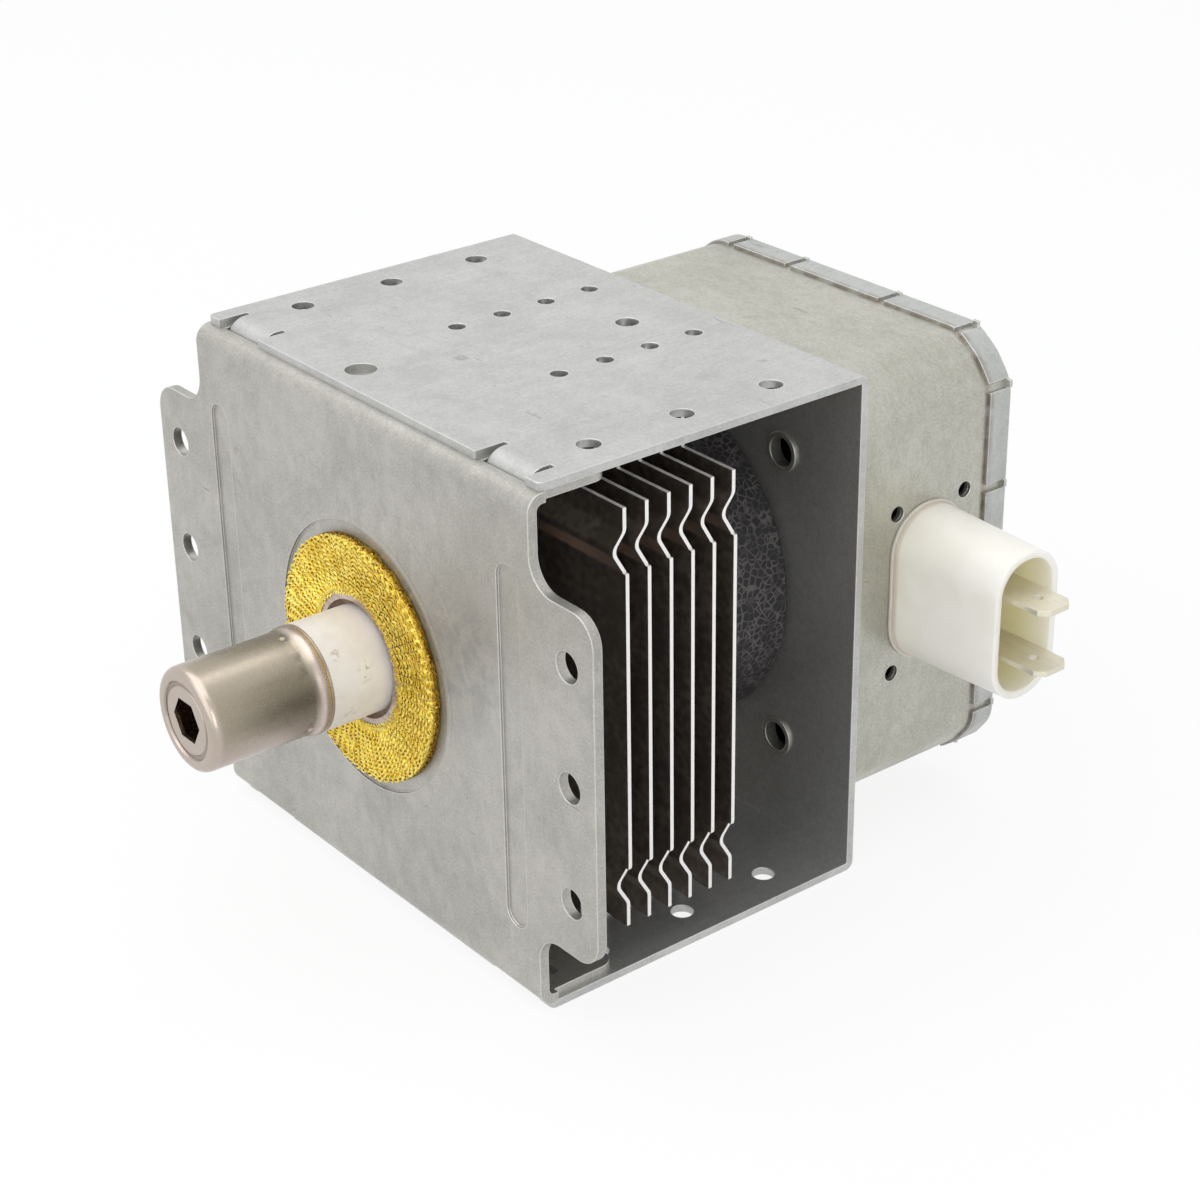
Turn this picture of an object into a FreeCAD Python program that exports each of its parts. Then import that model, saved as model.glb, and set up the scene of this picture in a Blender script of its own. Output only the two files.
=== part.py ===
import FreeCAD, Part
import math
import os
import Sketcher

# A microwave oven's magnetron, in millimetres. X runs to the right seen from the antenna, Y runs
# back along the tube's axis and Z runs up. The origin is where the axis crosses the front of the
# mounting plate.

SIZES = {
    # mounting plate with its fixing ears
    "plate_thick": 1.5,
    "plate_half_wide": 40.1,
    "plate_half_tall": 38.6,
    "plate_bend": 2.5,
    "bend_shoulder": 0.5,
    "flange_reach": 14.0,
    "flange_half_wide": 39.2,
    "flange_corner": 2.4,
    "ear_reach": 53.0,
    "ear_half_tall": 26.0,
    "ear_root_round": 4.5,
    "ear_corner_round": 4.2,
    "ear_hole_across": 47.6,
    "ear_hole_up": 17.7,
    "ear_hole_round": 2.25,
    "bead_across": 35.2,
    "bead_half_wide": 2.3,
    "bead_half_tall": 27.6,
    "bead_deep": 0.4,
    "seat_deep": 0.4,
    "tube_clearance": 0.3,
    # yoke channel
    "yoke_sheet": 1.2,
    "yoke_half_wide": 39.8,
    "yoke_front": 2.2,
    "yoke_bend": 3.0,
    "back_bend_inside": 0.2,
    "yoke_corner_round": 0.8,
    "corner_tab_wide": 2.9,
    "window_wide": 10.7,
    "window_back": 7.0,
    "tongue_margin": 1.0,
    "tongue_front": 3.0,
    "tongue_reach": 3.2,
    "tongue_clearance": 0.3,
    "row_across": 12.0,
    "row_first": 26.95,
    "row_pitch": 8.1,
    "row_hole_round": 1.3,
    "edge_hole_inset": 5.9,
    "edge_hole_first": 14.8,
    "edge_hole_pitch": 15.8,
    "edge_hole_round": 1.7,
    "large_hole_x": -7.15,
    "large_hole_y": 7.05,
    "large_hole_round": 2.3,
    "middle_hole_x": 2.55,
    "middle_hole_y": 46.7,
    "middle_hole_round": 1.75,
    # cooling fins
    "fin_thick": 0.6,
    "fin_first": 17.6,
    "fin_pitch": 3.78,
    "fin_half_wide": 38.5,
    "fin_end_half_wide": 38.0,
    "fin_top": 31.4,
    "fin_bottom": -33.3,
    "ridge_deep": 2.05,
    "ridge_round": 1.5,
    "ridge_top_end": 28.0,
    "ridge_top_crest": 25.5,
    "ridge_top_start": 22.0,
    "ridge_bottom_start": -23.7,
    "ridge_bottom_crest": -26.0,
    "ridge_bottom_end": -29.4,
    "foot_outer": 27.4,
    "foot_wide": 6.0,
    "foot_lip": 1.5,
    "foot_root": 1.6,
    "collar_long": 1.6,
    "collar_thick": 0.5,
    # magnets and tube body
    "magnet_round": 26.0,
    "magnet_bore": 10.5,
    "magnet_thick": 12.5,
    "magnet_edge": 0.6,
    "anode_round": 19.5,
    "anode_wall": 2.0,
    "anode_long": 28.2,
    "pole_thick": 1.6,
    "pole_cone_wall": 1.44,
    "pole_deep": 6.9,
    "pole_bore": 4.6,
    "pole_nose": 6.0,
    "pole_throat": 9.3,
    "vane_thick": 1.8,
    "vane_tall": 9.4,
    "vane_inner": 4.5,
    "braze_gap": 0.03,
    "strap_wide": 0.5,
    "strap_tall": 1.0,
    "strap_sunk": 0.3,
    "strap_inner": 5.5,
    "strap_pitch": 1.25,
    "strap_clearance": 0.3,
    "strap_seat": 0.08,
    # cathode
    "coil_round": 1.9,
    "coil_wire": 0.3,
    "coil_pitch": 2.175,
    "hat_round": 3.6,
    "hat_thick": 1.0,
    "hat_gap": 0.2,
    "lead_round": 0.55,
    "side_lead_down": 2.9,
    # output and input seals
    "cup_round": 10.0,
    "cup_wall": 0.5,
    "cup_long": 14.9,
    "cup_rim": 1.1,
    "cup_seat": 12.5,
    "cup_mouth": 5.6,
    "ceramic_round": 8.0,
    "ceramic_bore": 6.0,
    "ceramic_front": -10.0,
    "seal_thick": 0.4,
    "seal_neck": 7.1,
    "seal_wall": 0.5,
    "seal_long": 4.6,
    "exhaust_round": 2.5,
    "exhaust_wall": 0.6,
    "exhaust_tip": -26.5,
    "pinch_long": 2.5,
    "pinch_thick": 1.0,
    "antenna_round": 0.8,
    "antenna_across": 8.6,
    "antenna_bend": 15.5,
    "antenna_meet": 4.0,
    "antenna_tip": -23.5,
    "antenna_hole": 1.4,
    # antenna cap
    "cap_round": 7.65,
    "cap_wall": 0.45,
    "cap_nose": -29.0,
    "cap_nose_round": 1.8,
    "cap_lip_round": 8.05,
    "cap_lip_long": 0.6,
    "cap_face_round": 4.8,
    "cap_face_deep": 0.3,
    "hexagon_half": 3.35,
    # gasket
    "gasket_round": 18.4,
    "gasket_seat_round": 20.4,
    "gasket_proud": 1.3,
    "gasket_edge": 0.7,
    "gasket_clearance": 0.1,
    # filter box and lid
    "box_sheet": 0.5,
    "box_x": 2.95,
    "box_z": 1.6,
    "lid_half_wide": 34.15,
    "lid_half_tall": 35.2,
    "lid_back": 90.8,
    "lid_skirt": 4.1,
    "corner_leg": 7.2,
    "corner_bow": 0.7,
    "corner_blend": 6.0,
    "gap_wide": 1.3,
    "lug_out": 0.25,
    "lug_wide": 1.1,
    "eyelet_across": 23.9,
    "eyelet_up": 23.4,
    "eyelet_bore": 2.3,
    "eyelet_wall": 0.4,
    "eyelet_rim": 0.35,
    "eyelet_rim_thick": 0.35,
    # connector with its two blades and the capacitor behind it
    "connector_y": 75.1,
    "connector_z": 2.45,
    "housing_half_deep": 6.9,
    "housing_half_tall": 12.1,
    "housing_long": 20.1,
    "housing_end_flat": 0.3,
    "housing_wall": 1.1,
    "housing_floor": 3.4,
    "housing_lip": 0.45,
    "housing_lip_thick": 0.5,
    "spigot_inset": 1.0,
    "spigot_clearance": 0.1,
    "housing_draft": 0.65,
    "hole_middle_y": 75.75,
    "hole_deep_half": 6.85,
    "hole_tall_half": 12.95,
    "connector_hole_round": 1.25,
    "blade_wide": 6.3,
    "blade_thick": 0.8,
    "blade_apart": 9.5,
    "blade_tip": 62.9,
    "blade_chamfer": 1.3,
    "blade_hole_back": 4.2,
    "blade_hole_round": 0.8,
    "blade_shoulder_wide": 7.6,
    "blade_shoulder_long": 3.0,
    "tail_wide": 3.0,
    "tail_out": 2.5,
    "capacitor_long": 10.3,
    "capacitor_outset": -0.3,
    "plate_margin": 2.6,
    "filter_plate_thick": 0.8,
    # stem and choke coils
    "stem_back": 72.0,
    "stem_groove": 0.8,
    "terminal_thick": 0.6,
    "terminal_round": 6.6,
    "terminal_upper_edge": -1.0,
    "terminal_lower_edge": -1.9,
    "lug_up": 5.0,
    "lug_round": 1.0,
    "lug_long": 5.0,
    "choke_y": 75.1,
    "choke_up": 13.0,
    "choke_start": -16.0,
    "choke_long": 26.0,
    "choke_round": 4.2,
    "core_round": 2.4,
    "core_overhang": 2.2,
    "choke_wire": 0.65,
}

FINS = 6
VANES = 10
ROW_HOLES = 4
EDGE_HOLES = 3
COIL_TURNS = 4
TOP_GAPS = (-23.4, -10.0, 10.7, 26.8)
SIDE_GAPS = (-25.1, -11.9, 11.9, 27.8)
SIDES = (1, -1)
NEAR = 1e-4

FRONT = "XZ_Plane"
SIDE = "YZ_Plane"
TOP = "XY_Plane"

doc = FreeCAD.newDocument("Magnetron")
sheet = doc.addObject("Spreadsheet::Sheet", "Sizes")


class Length:
    """A size together with the expression that works it out from the sheet."""

    def __init__(self, text, number):
        self.text = text
        self.number = number

    def __add__(self, other):
        other = as_length(other)
        return Length(f"({self.text} + {other.text})", self.number + other.number)

    def __sub__(self, other):
        other = as_length(other)
        return Length(f"({self.text} - {other.text})", self.number - other.number)

    def __rsub__(self, other):
        return as_length(other) - self

    def __mul__(self, factor):
        return Length(f"({factor} * {self.text})", factor * self.number)

    def __neg__(self):
        return self * -1

    __radd__ = __add__
    __rmul__ = __mul__


def as_length(value):
    return value if isinstance(value, Length) else Length(repr(float(value)), float(value))


class Sizes:
    """The sheet's cells by name."""


def fill_sheet():
    sizes = Sizes()
    for row, (name, number) in enumerate(SIZES.items(), 1):
        sheet.set(f"A{row}", name)
        sheet.set(f"B{row}", str(number))
        sheet.setAlias(f"B{row}", name)
        setattr(sizes, name, Length(f"Sizes.{name}", number))
    doc.recompute()
    return sizes


def bind(thing, name, size):
    thing.setExpression(name, as_length(size).text)


# Sketches and features


def new_body(label):
    body = doc.addObject("PartDesign::Body", label)
    body.Label = label
    return body


def origin_plane(body, role):
    return next(feature for feature in body.Origin.OriginFeatures if feature.Role == role)


def new_sketch(body, role, name, offset=None):
    sketch = body.newObject("Sketcher::SketchObject", name)
    sketch.AttachmentSupport = [(origin_plane(body, role), "")]
    sketch.MapMode = "FlatFace"
    if offset is not None:
        bind(sketch, "AttachmentOffset.Base.z", offset)
    return sketch


def hold(sketch, constraint, size):
    """Adds a dimension and binds it to the sheet."""
    index = sketch.addConstraint(constraint)
    if isinstance(size, Length):
        sketch.setExpression(f"Constraints[{index}]", size.text)


def hold_point(sketch, curve, end, place):
    across, up = place
    hold(sketch, Sketcher.Constraint("DistanceX", -1, 1, curve, end, as_length(across).number), across)
    hold(sketch, Sketcher.Constraint("DistanceY", -1, 1, curve, end, as_length(up).number), up)


def at(place):
    return FreeCAD.Vector(as_length(place[0]).number, as_length(place[1]).number, 0)


def polyline(points, closed=True):
    def draw(sketch):
        first = sketch.GeometryCount
        count = len(points) if closed else len(points) - 1
        for i in range(count):
            line = Part.LineSegment(at(points[i]), at(points[(i + 1) % len(points)]))
            sketch.addGeometry(line, False)
        for i in range(count if closed else count - 1):
            following = first + (i + 1) % count
            sketch.addConstraint(Sketcher.Constraint("Coincident", first + i, 2, following, 1))
        for i in range(count):
            hold_point(sketch, first + i, 1, points[i])
        if not closed:
            hold_point(sketch, first + count - 1, 2, points[-1])

    return draw


def rectangle(left, right, low, high):
    return polyline([(left, low), (right, low), (right, high), (left, high)])


def circle(across, up, radius):
    def draw(sketch):
        middle = at((across, up))
        ring = Part.Circle(middle, FreeCAD.Vector(0, 0, 1), as_length(radius).number)
        index = sketch.addGeometry(ring, False)
        hold(sketch, Sketcher.Constraint("Radius", index, as_length(radius).number), radius)
        hold_point(sketch, index, 3, (across, up))

    return draw


def rounded_rectangle(left, right, low, high, radius):
    """Four tangent corner arcs joined by straight sides."""

    def draw(sketch):
        size = as_length(radius).number
        middles = [(right - radius, high - radius), (left + radius, high - radius),
                   (left + radius, low + radius), (right - radius, low + radius)]
        arcs = []
        for quarter, middle in enumerate(middles):
            ring = Part.Circle(at(middle), FreeCAD.Vector(0, 0, 1), size)
            start = quarter * math.pi / 2
            arcs.append(sketch.addGeometry(Part.ArcOfCircle(ring, start, start + math.pi / 2), False))
        for one, other in zip(arcs, arcs[1:] + arcs[:1]):
            ends = [sketch.Geometry[one].EndPoint, sketch.Geometry[other].StartPoint]
            side = sketch.addGeometry(Part.LineSegment(*ends), False)
            sketch.addConstraint(Sketcher.Constraint("Tangent", one, 2, side, 1))
            sketch.addConstraint(Sketcher.Constraint("Tangent", side, 2, other, 1))
        for arc, middle in zip(arcs, middles):
            hold_point(sketch, arc, 3, middle)
            hold(sketch, Sketcher.Constraint("Radius", arc, size), radius)

    return draw


def upright_slot(across, low, high, radius):
    """A slot with round ends about the two given middles."""

    def draw(sketch):
        up = FreeCAD.Vector(0, 0, 1)
        out = as_length(radius).number
        top = at((across, high))
        foot = at((across, low))
        reach = FreeCAD.Vector(out, 0, 0)
        crown = Part.ArcOfCircle(Part.Circle(top, up, out), 0, math.pi)
        heel = Part.ArcOfCircle(Part.Circle(foot, up, out), math.pi, 2 * math.pi)
        a = sketch.addGeometry(crown, False)
        left = sketch.addGeometry(Part.LineSegment(top - reach, foot - reach), False)
        b = sketch.addGeometry(heel, False)
        right = sketch.addGeometry(Part.LineSegment(foot + reach, top + reach), False)
        for one, other in ((a, left), (left, b), (b, right), (right, a)):
            sketch.addConstraint(Sketcher.Constraint("Tangent", one, 2, other, 1))
        hold_point(sketch, a, 3, (across, high))
        hold_point(sketch, b, 3, (across, low))
        hold(sketch, Sketcher.Constraint("Radius", a, out), radius)

    return draw


def extruded(body, kind, name, role, start, end, loops):
    """A pad or pocket that runs from start to end along the axis that crosses the plane."""
    facing_back = role == FRONT
    sketch = new_sketch(body, role, name + "Sketch", -as_length(start) if facing_back else as_length(start))
    for draw in loops:
        draw(sketch)
    feature = body.newObject(kind, name)
    feature.Profile = sketch
    feature.Reversed = facing_back == (kind == "PartDesign::Pad")
    bind(feature, "Length", as_length(end) - start)
    sketch.Visibility = False
    return feature


def pad(body, name, role, start, end, *loops):
    return extruded(body, "PartDesign::Pad", name, role, start, end, loops)


def cut(body, name, role, start, end, *loops):
    doc.recompute()
    before = body.Tip.Shape.Volume
    feature = extruded(body, "PartDesign::Pocket", name, role, start, end, loops)
    doc.recompute()
    if feature.Shape.Volume >= before:
        raise RuntimeError(f"{body.Label} {name} cuts nothing")
    return feature


def spun(body, name, points, axis="V_Axis"):
    sketch = new_sketch(body, TOP, name + "Sketch")
    polyline(points)(sketch)
    feature = body.newObject("PartDesign::Revolution", name)
    feature.Profile = sketch
    feature.ReferenceAxis = (sketch, [axis])
    feature.Angle = 360
    return feature


def edges_where(shape, **places):
    """Names of the edges that lie wholly at one of the places given along each axis named."""
    found = []
    for number, edge in enumerate(shape.Edges, 1):
        ends = (edge.FirstParameter, edge.LastParameter)
        points = [edge.valueAt(ends[0] + share * (ends[1] - ends[0])) for share in (0.0, 0.3, 0.7, 1.0)]
        if all(any(all(lies_at(point, axis, place) for point in points) for place in allowed)
               for axis, allowed in places.items()):
            found.append(f"Edge{number}")
    return found


def lies_at(point, axis, place):
    actual = math.hypot(point.x, point.z) if axis == "r" else getattr(point, axis)
    return abs(actual - as_length(place).number) < NEAR


def fillet(body, name, radius, edges):
    if not edges:
        raise RuntimeError(f"{body.Label} {name} finds no edge")
    base = body.Tip
    feature = body.newObject("PartDesign::Fillet", name)
    feature.Base = (base, edges)
    bind(feature, "Radius", radius)


def rounded(body, name, radius, **places):
    """Rounds the edges of the body that lie at the given places."""
    doc.recompute()
    fillet(body, name, radius, edges_where(body.Tip.Shape, **places))


def round_between(body, name, radius, axis, near, far):
    """Rounds the straight edges that run from one place to another along an axis."""
    doc.recompute()
    shape = body.Tip.Shape
    names = [f"Edge{number}" for number in range(1, len(shape.Edges) + 1)]
    fillet(body, name, radius, [edge for edge in names if spans(shape.getElement(edge), axis, near, far)])


def spans(edge, axis, near, far):
    ends = (edge.FirstParameter, edge.LastParameter)
    first, last = sorted(getattr(edge.valueAt(end), axis) for end in ends)
    return abs(first - as_length(near).number) < NEAR and abs(last - as_length(far).number) < NEAR


def both(size):
    return (size, -size)


def piped(body, name, path_role, path, section_role, section_offset, section_middle, radius):
    """A round wire along a path of straight runs."""
    spine = new_sketch(body, path_role, name + "Path")
    polyline(path, closed=False)(spine)
    section = new_sketch(body, section_role, name + "Section", section_offset)
    circle(*section_middle, radius)(section)
    feature = body.newObject("PartDesign::AdditivePipe", name)
    feature.Profile = section
    feature.Spine = spine
    feature.Transition = "Right corner"
    return feature


def turned(label, points):
    """A round piece about the tube's axis, drawn as radius and depth."""
    body = new_body(label)
    spun(body, label + "Turn", points)
    return body


S = fill_sheet()

# Places that several pieces share

YOKE_TALL = S.plate_half_tall + S.yoke_sheet
POLE_FRONT = S.plate_thick + S.magnet_thick
ANODE_FRONT = POLE_FRONT + S.pole_thick
ANODE_BACK = ANODE_FRONT + S.anode_long
POLE_BACK = ANODE_BACK + S.pole_thick
YOKE_INSIDE = POLE_BACK + S.magnet_thick
YOKE_BACK = YOKE_INSIDE + S.yoke_sheet
TUBE_MIDDLE = (ANODE_FRONT + ANODE_BACK) * 0.5
VANE_FRONT = TUBE_MIDDLE - S.vane_tall * 0.5
VANE_BACK = TUBE_MIDDLE + S.vane_tall * 0.5
TUBE_HOLE = S.cup_round + S.tube_clearance
BOX_RIGHT = S.box_x + S.lid_half_wide - S.box_sheet
BOX_INSIDE = BOX_RIGHT - S.box_sheet
FILTER_PLATE = BOX_INSIDE - S.filter_plate_thick
CAPACITOR_END = FILTER_PLATE - S.capacitor_long
LID_INSIDE = S.lid_back - S.box_sheet
STEM_FRONT = POLE_BACK + S.cup_seat
CERAMIC_BACK = POLE_FRONT - S.cup_seat
SEAL_FRONT = S.ceramic_front - S.seal_thick
BLADE_HEIGHTS = [S.connector_z + S.blade_apart * 0.5, S.connector_z - S.blade_apart * 0.5]


# Mounting plate: flanged at top and bottom, with two ears, two beads and the gasket's seat


def front_plate():
    body = new_body("front_plate")
    wide, tall = S.plate_half_wide, S.plate_half_tall
    right = [(wide, tall), (wide, S.ear_half_tall), (S.ear_reach, S.ear_half_tall)]
    right += [(across, -up) for across, up in reversed(right)]
    left = [(-across, up) for across, up in reversed(right)]
    pad(body, "Plate", FRONT, 0, S.plate_thick, polyline(right + left))
    flange_inside = tall - S.plate_thick
    root = S.plate_bend + S.bend_shoulder
    pad(body, "TopBend", FRONT, 0, root, rectangle(-wide, wide, flange_inside, tall))
    pad(body, "BottomBend", FRONT, 0, root, rectangle(-wide, wide, -tall, -flange_inside))
    rounded(body, "OuterBends", S.plate_bend, y=[0], z=both(tall))
    rounded(body, "InnerBends", S.plate_bend - S.plate_thick, y=[S.plate_thick], z=both(flange_inside))
    reach = S.flange_half_wide
    upper = rectangle(-reach, reach, flange_inside, tall)
    lower = rectangle(-reach, reach, -tall, -flange_inside)
    pad(body, "Flanges", FRONT, root, S.flange_reach, upper, lower)
    rounded(body, "FlangeCorners", S.flange_corner, x=both(reach), y=[S.flange_reach])
    rounded(body, "EarCorners", S.ear_corner_round, x=both(S.ear_reach), z=both(S.ear_half_tall))
    rounded(body, "EarRoots", S.ear_root_round, x=both(wide), z=both(S.ear_half_tall))
    beads = [bead(side) for side in SIDES]
    pad(body, "BeadRibs", FRONT, S.plate_thick, S.plate_thick + S.bead_deep, *beads)
    cut(body, "BeadGrooves", FRONT, 0, S.bead_deep, *beads)
    cut(body, "GasketSeat", FRONT, 0, S.seat_deep, circle(0, 0, S.gasket_seat_round))
    holes = [circle(0, 0, TUBE_HOLE)]
    for side in SIDES:
        for up in (S.ear_hole_up, 0, -S.ear_hole_up):
            holes.append(circle(S.ear_hole_across * side, up, S.ear_hole_round))
    cut(body, "Holes", FRONT, 0, S.plate_thick, *holes)
    slot_front = S.tongue_front - S.tongue_clearance
    slot_back = S.tongue_front + S.yoke_bend + S.tongue_clearance
    slots = [rectangle(*tongue_span(side, S.tongue_clearance), slot_front, slot_back) for side in SIDES]
    cut(body, "TongueSlots", TOP, -YOKE_TALL, YOKE_TALL, *slots)
    return body


def bead(side):
    """One pressed bead: a tall slot beside the plate's edge."""
    middle = S.bead_half_tall - S.bead_half_wide
    return upright_slot(S.bead_across * side, -middle, middle, S.bead_half_wide)


def tongue_span(side, clearance=0):
    """Left and right ends of the tongue on the given side."""
    inner, outer = window_span(1)
    inner = inner + S.tongue_margin - clearance
    outer = outer - S.tongue_margin + clearance
    return (inner, outer) if side > 0 else (-outer, -inner)


# Yoke: a channel open at the sides and front, hooked to the plate by four tongues


def yoke_channel():
    body = new_body("yoke_channel")
    tall, inside, front = YOKE_TALL, S.plate_half_tall, S.yoke_front
    channel = [(front, tall), (YOKE_BACK, tall), (YOKE_BACK, -tall), (front, -tall),
               (front, -inside), (YOKE_INSIDE, -inside), (YOKE_INSIDE, inside), (front, inside)]
    pad(body, "Channel", SIDE, -S.yoke_half_wide, S.yoke_half_wide, polyline(channel))
    rounded(body, "OuterBends", S.back_bend_inside + S.yoke_sheet, y=[YOKE_BACK], z=both(tall))
    rounded(body, "InnerBends", S.back_bend_inside, y=[YOKE_INSIDE], z=both(inside))
    windows = [rectangle(*window_span(side), 0, S.window_back) for side in SIDES]
    cut(body, "Windows", TOP, -tall, tall, *windows)
    rounded(body, "CornerTabs", S.yoke_corner_round, x=both(S.yoke_half_wide), y=[front])
    for side, name in zip(SIDES, ("RightTongues", "LeftTongues")):
        pad(body, name, SIDE, *tongue_span(side), tongue_outline(1), tongue_outline(-1))
    tongue_inside = S.tongue_front + S.yoke_sheet
    rounded(body, "TongueBends", S.yoke_bend, y=[S.tongue_front], z=both(tall))
    rounded(body, "TongueHollows", S.yoke_bend - S.yoke_sheet, y=[tongue_inside], z=both(inside))
    cut(body, "TopHoles", TOP, inside, tall, *row_holes(), *edge_holes(), *odd_holes())
    cut(body, "BottomHoles", TOP, -tall, -inside, *edge_holes())
    back = [circle(0, 0, TUBE_HOLE)]
    for across, up in eyelet_places():
        back.append(circle(across, up, S.eyelet_bore + S.eyelet_wall))
    cut(body, "BackHoles", FRONT, YOKE_INSIDE, YOKE_BACK, *back)
    return body


def window_span(side):
    """Left and right ends of the window on the given side, between the corner tab and the middle."""
    outer = S.yoke_half_wide - S.corner_tab_wide
    inner = outer - S.window_wide
    return (inner, outer) if side > 0 else (-outer, -inner)


def tongue_outline(side):
    """The tongue's side view: it leaves the wall and turns in through the flange."""
    root = S.window_back + S.tongue_margin
    tall, inside, front = YOKE_TALL * side, S.plate_half_tall * side, S.tongue_front
    back = front + S.yoke_sheet
    tip = inside - S.tongue_reach * side
    return polyline([(root, tall), (front, tall), (front, tip), (back, tip),
                     (back, inside), (root, inside)])


def row_holes():
    """Two rows of small holes along the top."""
    deep = [S.row_first + S.row_pitch * i for i in range(ROW_HOLES)]
    return [circle(S.row_across * side, place, S.row_hole_round) for side in SIDES for place in deep]


def edge_holes():
    across = S.yoke_half_wide - S.edge_hole_inset
    deep = [S.edge_hole_first + S.edge_hole_pitch * i for i in range(EDGE_HOLES)]
    return [circle(across * side, place, S.edge_hole_round) for side in SIDES for place in deep]


def odd_holes():
    return [circle(S.large_hole_x, S.large_hole_y, S.large_hole_round),
            circle(S.middle_hole_x, S.middle_hole_y, S.middle_hole_round)]


def eyelet_places():
    return [(S.eyelet_across * side, S.eyelet_up * rise) for side in SIDES for rise in SIDES]


# Cooling fins: thin ribbed sheets pressed over the tube and standing on bent feet


def fin(index):
    body = new_body(f"cooling_fin_{index + 1}")
    pad(body, "Sheet", SIDE, -S.fin_half_wide, S.fin_half_wide, polyline(fin_section()))
    ridges = [S.ridge_top_end, S.ridge_top_crest, S.ridge_top_start,
              S.ridge_bottom_start, S.ridge_bottom_crest, S.ridge_bottom_end]
    rounded(body, "Ridges", S.ridge_round, z=ridges)
    rims = []
    for inner, outer in ((S.fin_end_half_wide, S.fin_half_wide), (-S.fin_half_wide, -S.fin_end_half_wide)):
        rims.append(rectangle(inner, outer, S.ridge_top_start, S.fin_top))
        rims.append(rectangle(inner, outer, S.fin_bottom, S.ridge_bottom_start))
    cut(body, "NarrowEnds", FRONT, -S.fin_thick - S.ridge_deep, 0, *rims)
    inner, outer = S.foot_outer - S.foot_wide, S.foot_outer
    for span, name in (((inner, outer), "RightFeet"), ((-outer, -inner), "LeftFeet")):
        feet = [foot(S.fin_top, S.plate_half_tall, 1), foot(S.fin_bottom, -S.plate_half_tall, -1)]
        pad(body, name, SIDE, *span, *feet)
    pad(body, "Collar", FRONT, -S.fin_thick, S.collar_long, circle(0, 0, S.anode_round + S.collar_thick))
    cut(body, "TubeHole", FRONT, -S.fin_thick, S.collar_long, circle(0, 0, S.anode_round))
    bind(body, "Placement.Base.y", S.fin_first + S.fin_pitch * index)
    return body


def fin_section():
    """The fin seen from its side: flat sheet with one forward ridge near each end."""
    back = [(0, S.fin_top), (0, S.ridge_top_end), (-S.ridge_deep, S.ridge_top_crest),
            (0, S.ridge_top_start), (0, S.ridge_bottom_start),
            (-S.ridge_deep, S.ridge_bottom_crest), (0, S.ridge_bottom_end), (0, S.fin_bottom)]
    front = [(-S.fin_thick + depth, up) for depth, up in reversed(back)]
    return back + front


def foot(edge, wall, side):
    """A tab that carries on from the fin's edge and turns flat against the yoke's wall."""
    sheet_thick = S.fin_thick
    root = edge - S.foot_root * side
    lip = wall - sheet_thick * side
    return polyline([(-sheet_thick, root), (0, root), (0, lip), (S.foot_lip, lip),
                     (S.foot_lip, wall), (-sheet_thick, wall)])


# Magnets and the tube between them


def magnet(label, front):
    back = front + S.magnet_thick
    inner, outer, edge = S.magnet_bore, S.magnet_round, S.magnet_edge
    return turned(label, [(inner, front), (outer - edge, front), (outer, front + edge),
                          (outer, back - edge), (outer - edge, back), (inner, back)])


def anode_shell():
    inner, outer = S.anode_round - S.anode_wall, S.anode_round
    return turned("anode_shell", [(inner, ANODE_FRONT), (outer, ANODE_FRONT),
                                  (outer, ANODE_BACK), (inner, ANODE_BACK)])


def pole_piece(label, face, inward):
    """A dished iron disc that leads the field into the space round the cathode."""
    thick, deep = S.pole_thick * inward, S.pole_deep * inward
    wall = S.pole_cone_wall
    inside, tip = face + thick, face + thick + deep
    return turned(label, [(S.anode_round, face), (S.anode_round, inside), (S.pole_throat + wall, inside),
                          (S.pole_nose + wall, tip), (S.pole_bore, tip),
                          (S.pole_bore, face + deep), (S.pole_nose, face + deep), (S.pole_throat, face)])


def front_pole_piece():
    body = pole_piece("front_pole_piece", POLE_FRONT, 1)
    hole = circle(S.antenna_across, 0, S.antenna_hole)
    cut(body, "AntennaHole", FRONT, POLE_FRONT, VANE_FRONT, hole)
    return body


def vane(index):
    """A copper vane: alternate vanes touch the inner or the outer strap and clear the other one."""
    body = new_body(f"anode_vane_{index + 1}")
    outer = S.anode_round - S.anode_wall - S.braze_gap
    front = [(S.vane_inner, VANE_FRONT)]
    back = [(S.vane_inner, VANE_BACK)]
    for ring in range(2):
        play = S.strap_clearance if (index + ring) % 2 else 0
        near = S.strap_inner + S.strap_pitch * ring - play - S.strap_seat
        far = S.strap_inner + S.strap_pitch * ring + S.strap_wide + play
        sunk = S.strap_sunk + S.strap_tall + play
        floor, roof = VANE_FRONT + sunk, VANE_BACK - sunk
        front += [(near, VANE_FRONT), (near, floor), (far, floor), (far, VANE_FRONT)]
        back += [(near, VANE_BACK), (near, roof), (far, roof), (far, VANE_BACK)]
    outline = front + [(outer, VANE_FRONT), (outer, VANE_BACK)] + back[::-1]
    pad(body, "Blade", TOP, S.vane_thick * -0.5, S.vane_thick * 0.5, polyline(outline))
    turn = FreeCAD.Rotation(FreeCAD.Vector(0, 1, 0), index * 360 / VANES)
    body.Placement = FreeCAD.Placement(FreeCAD.Vector(), turn)
    return body


def strap(label, ring, edge, inward):
    near = S.strap_inner + S.strap_pitch * ring
    far = near + S.strap_wide
    outside = edge + S.strap_sunk * inward
    inside = outside + S.strap_tall * inward
    return turned(label, [(near, outside), (far, outside), (far, inside), (near, inside)])


# Cathode: a helix between two end hats, on a centre lead and a side lead


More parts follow.
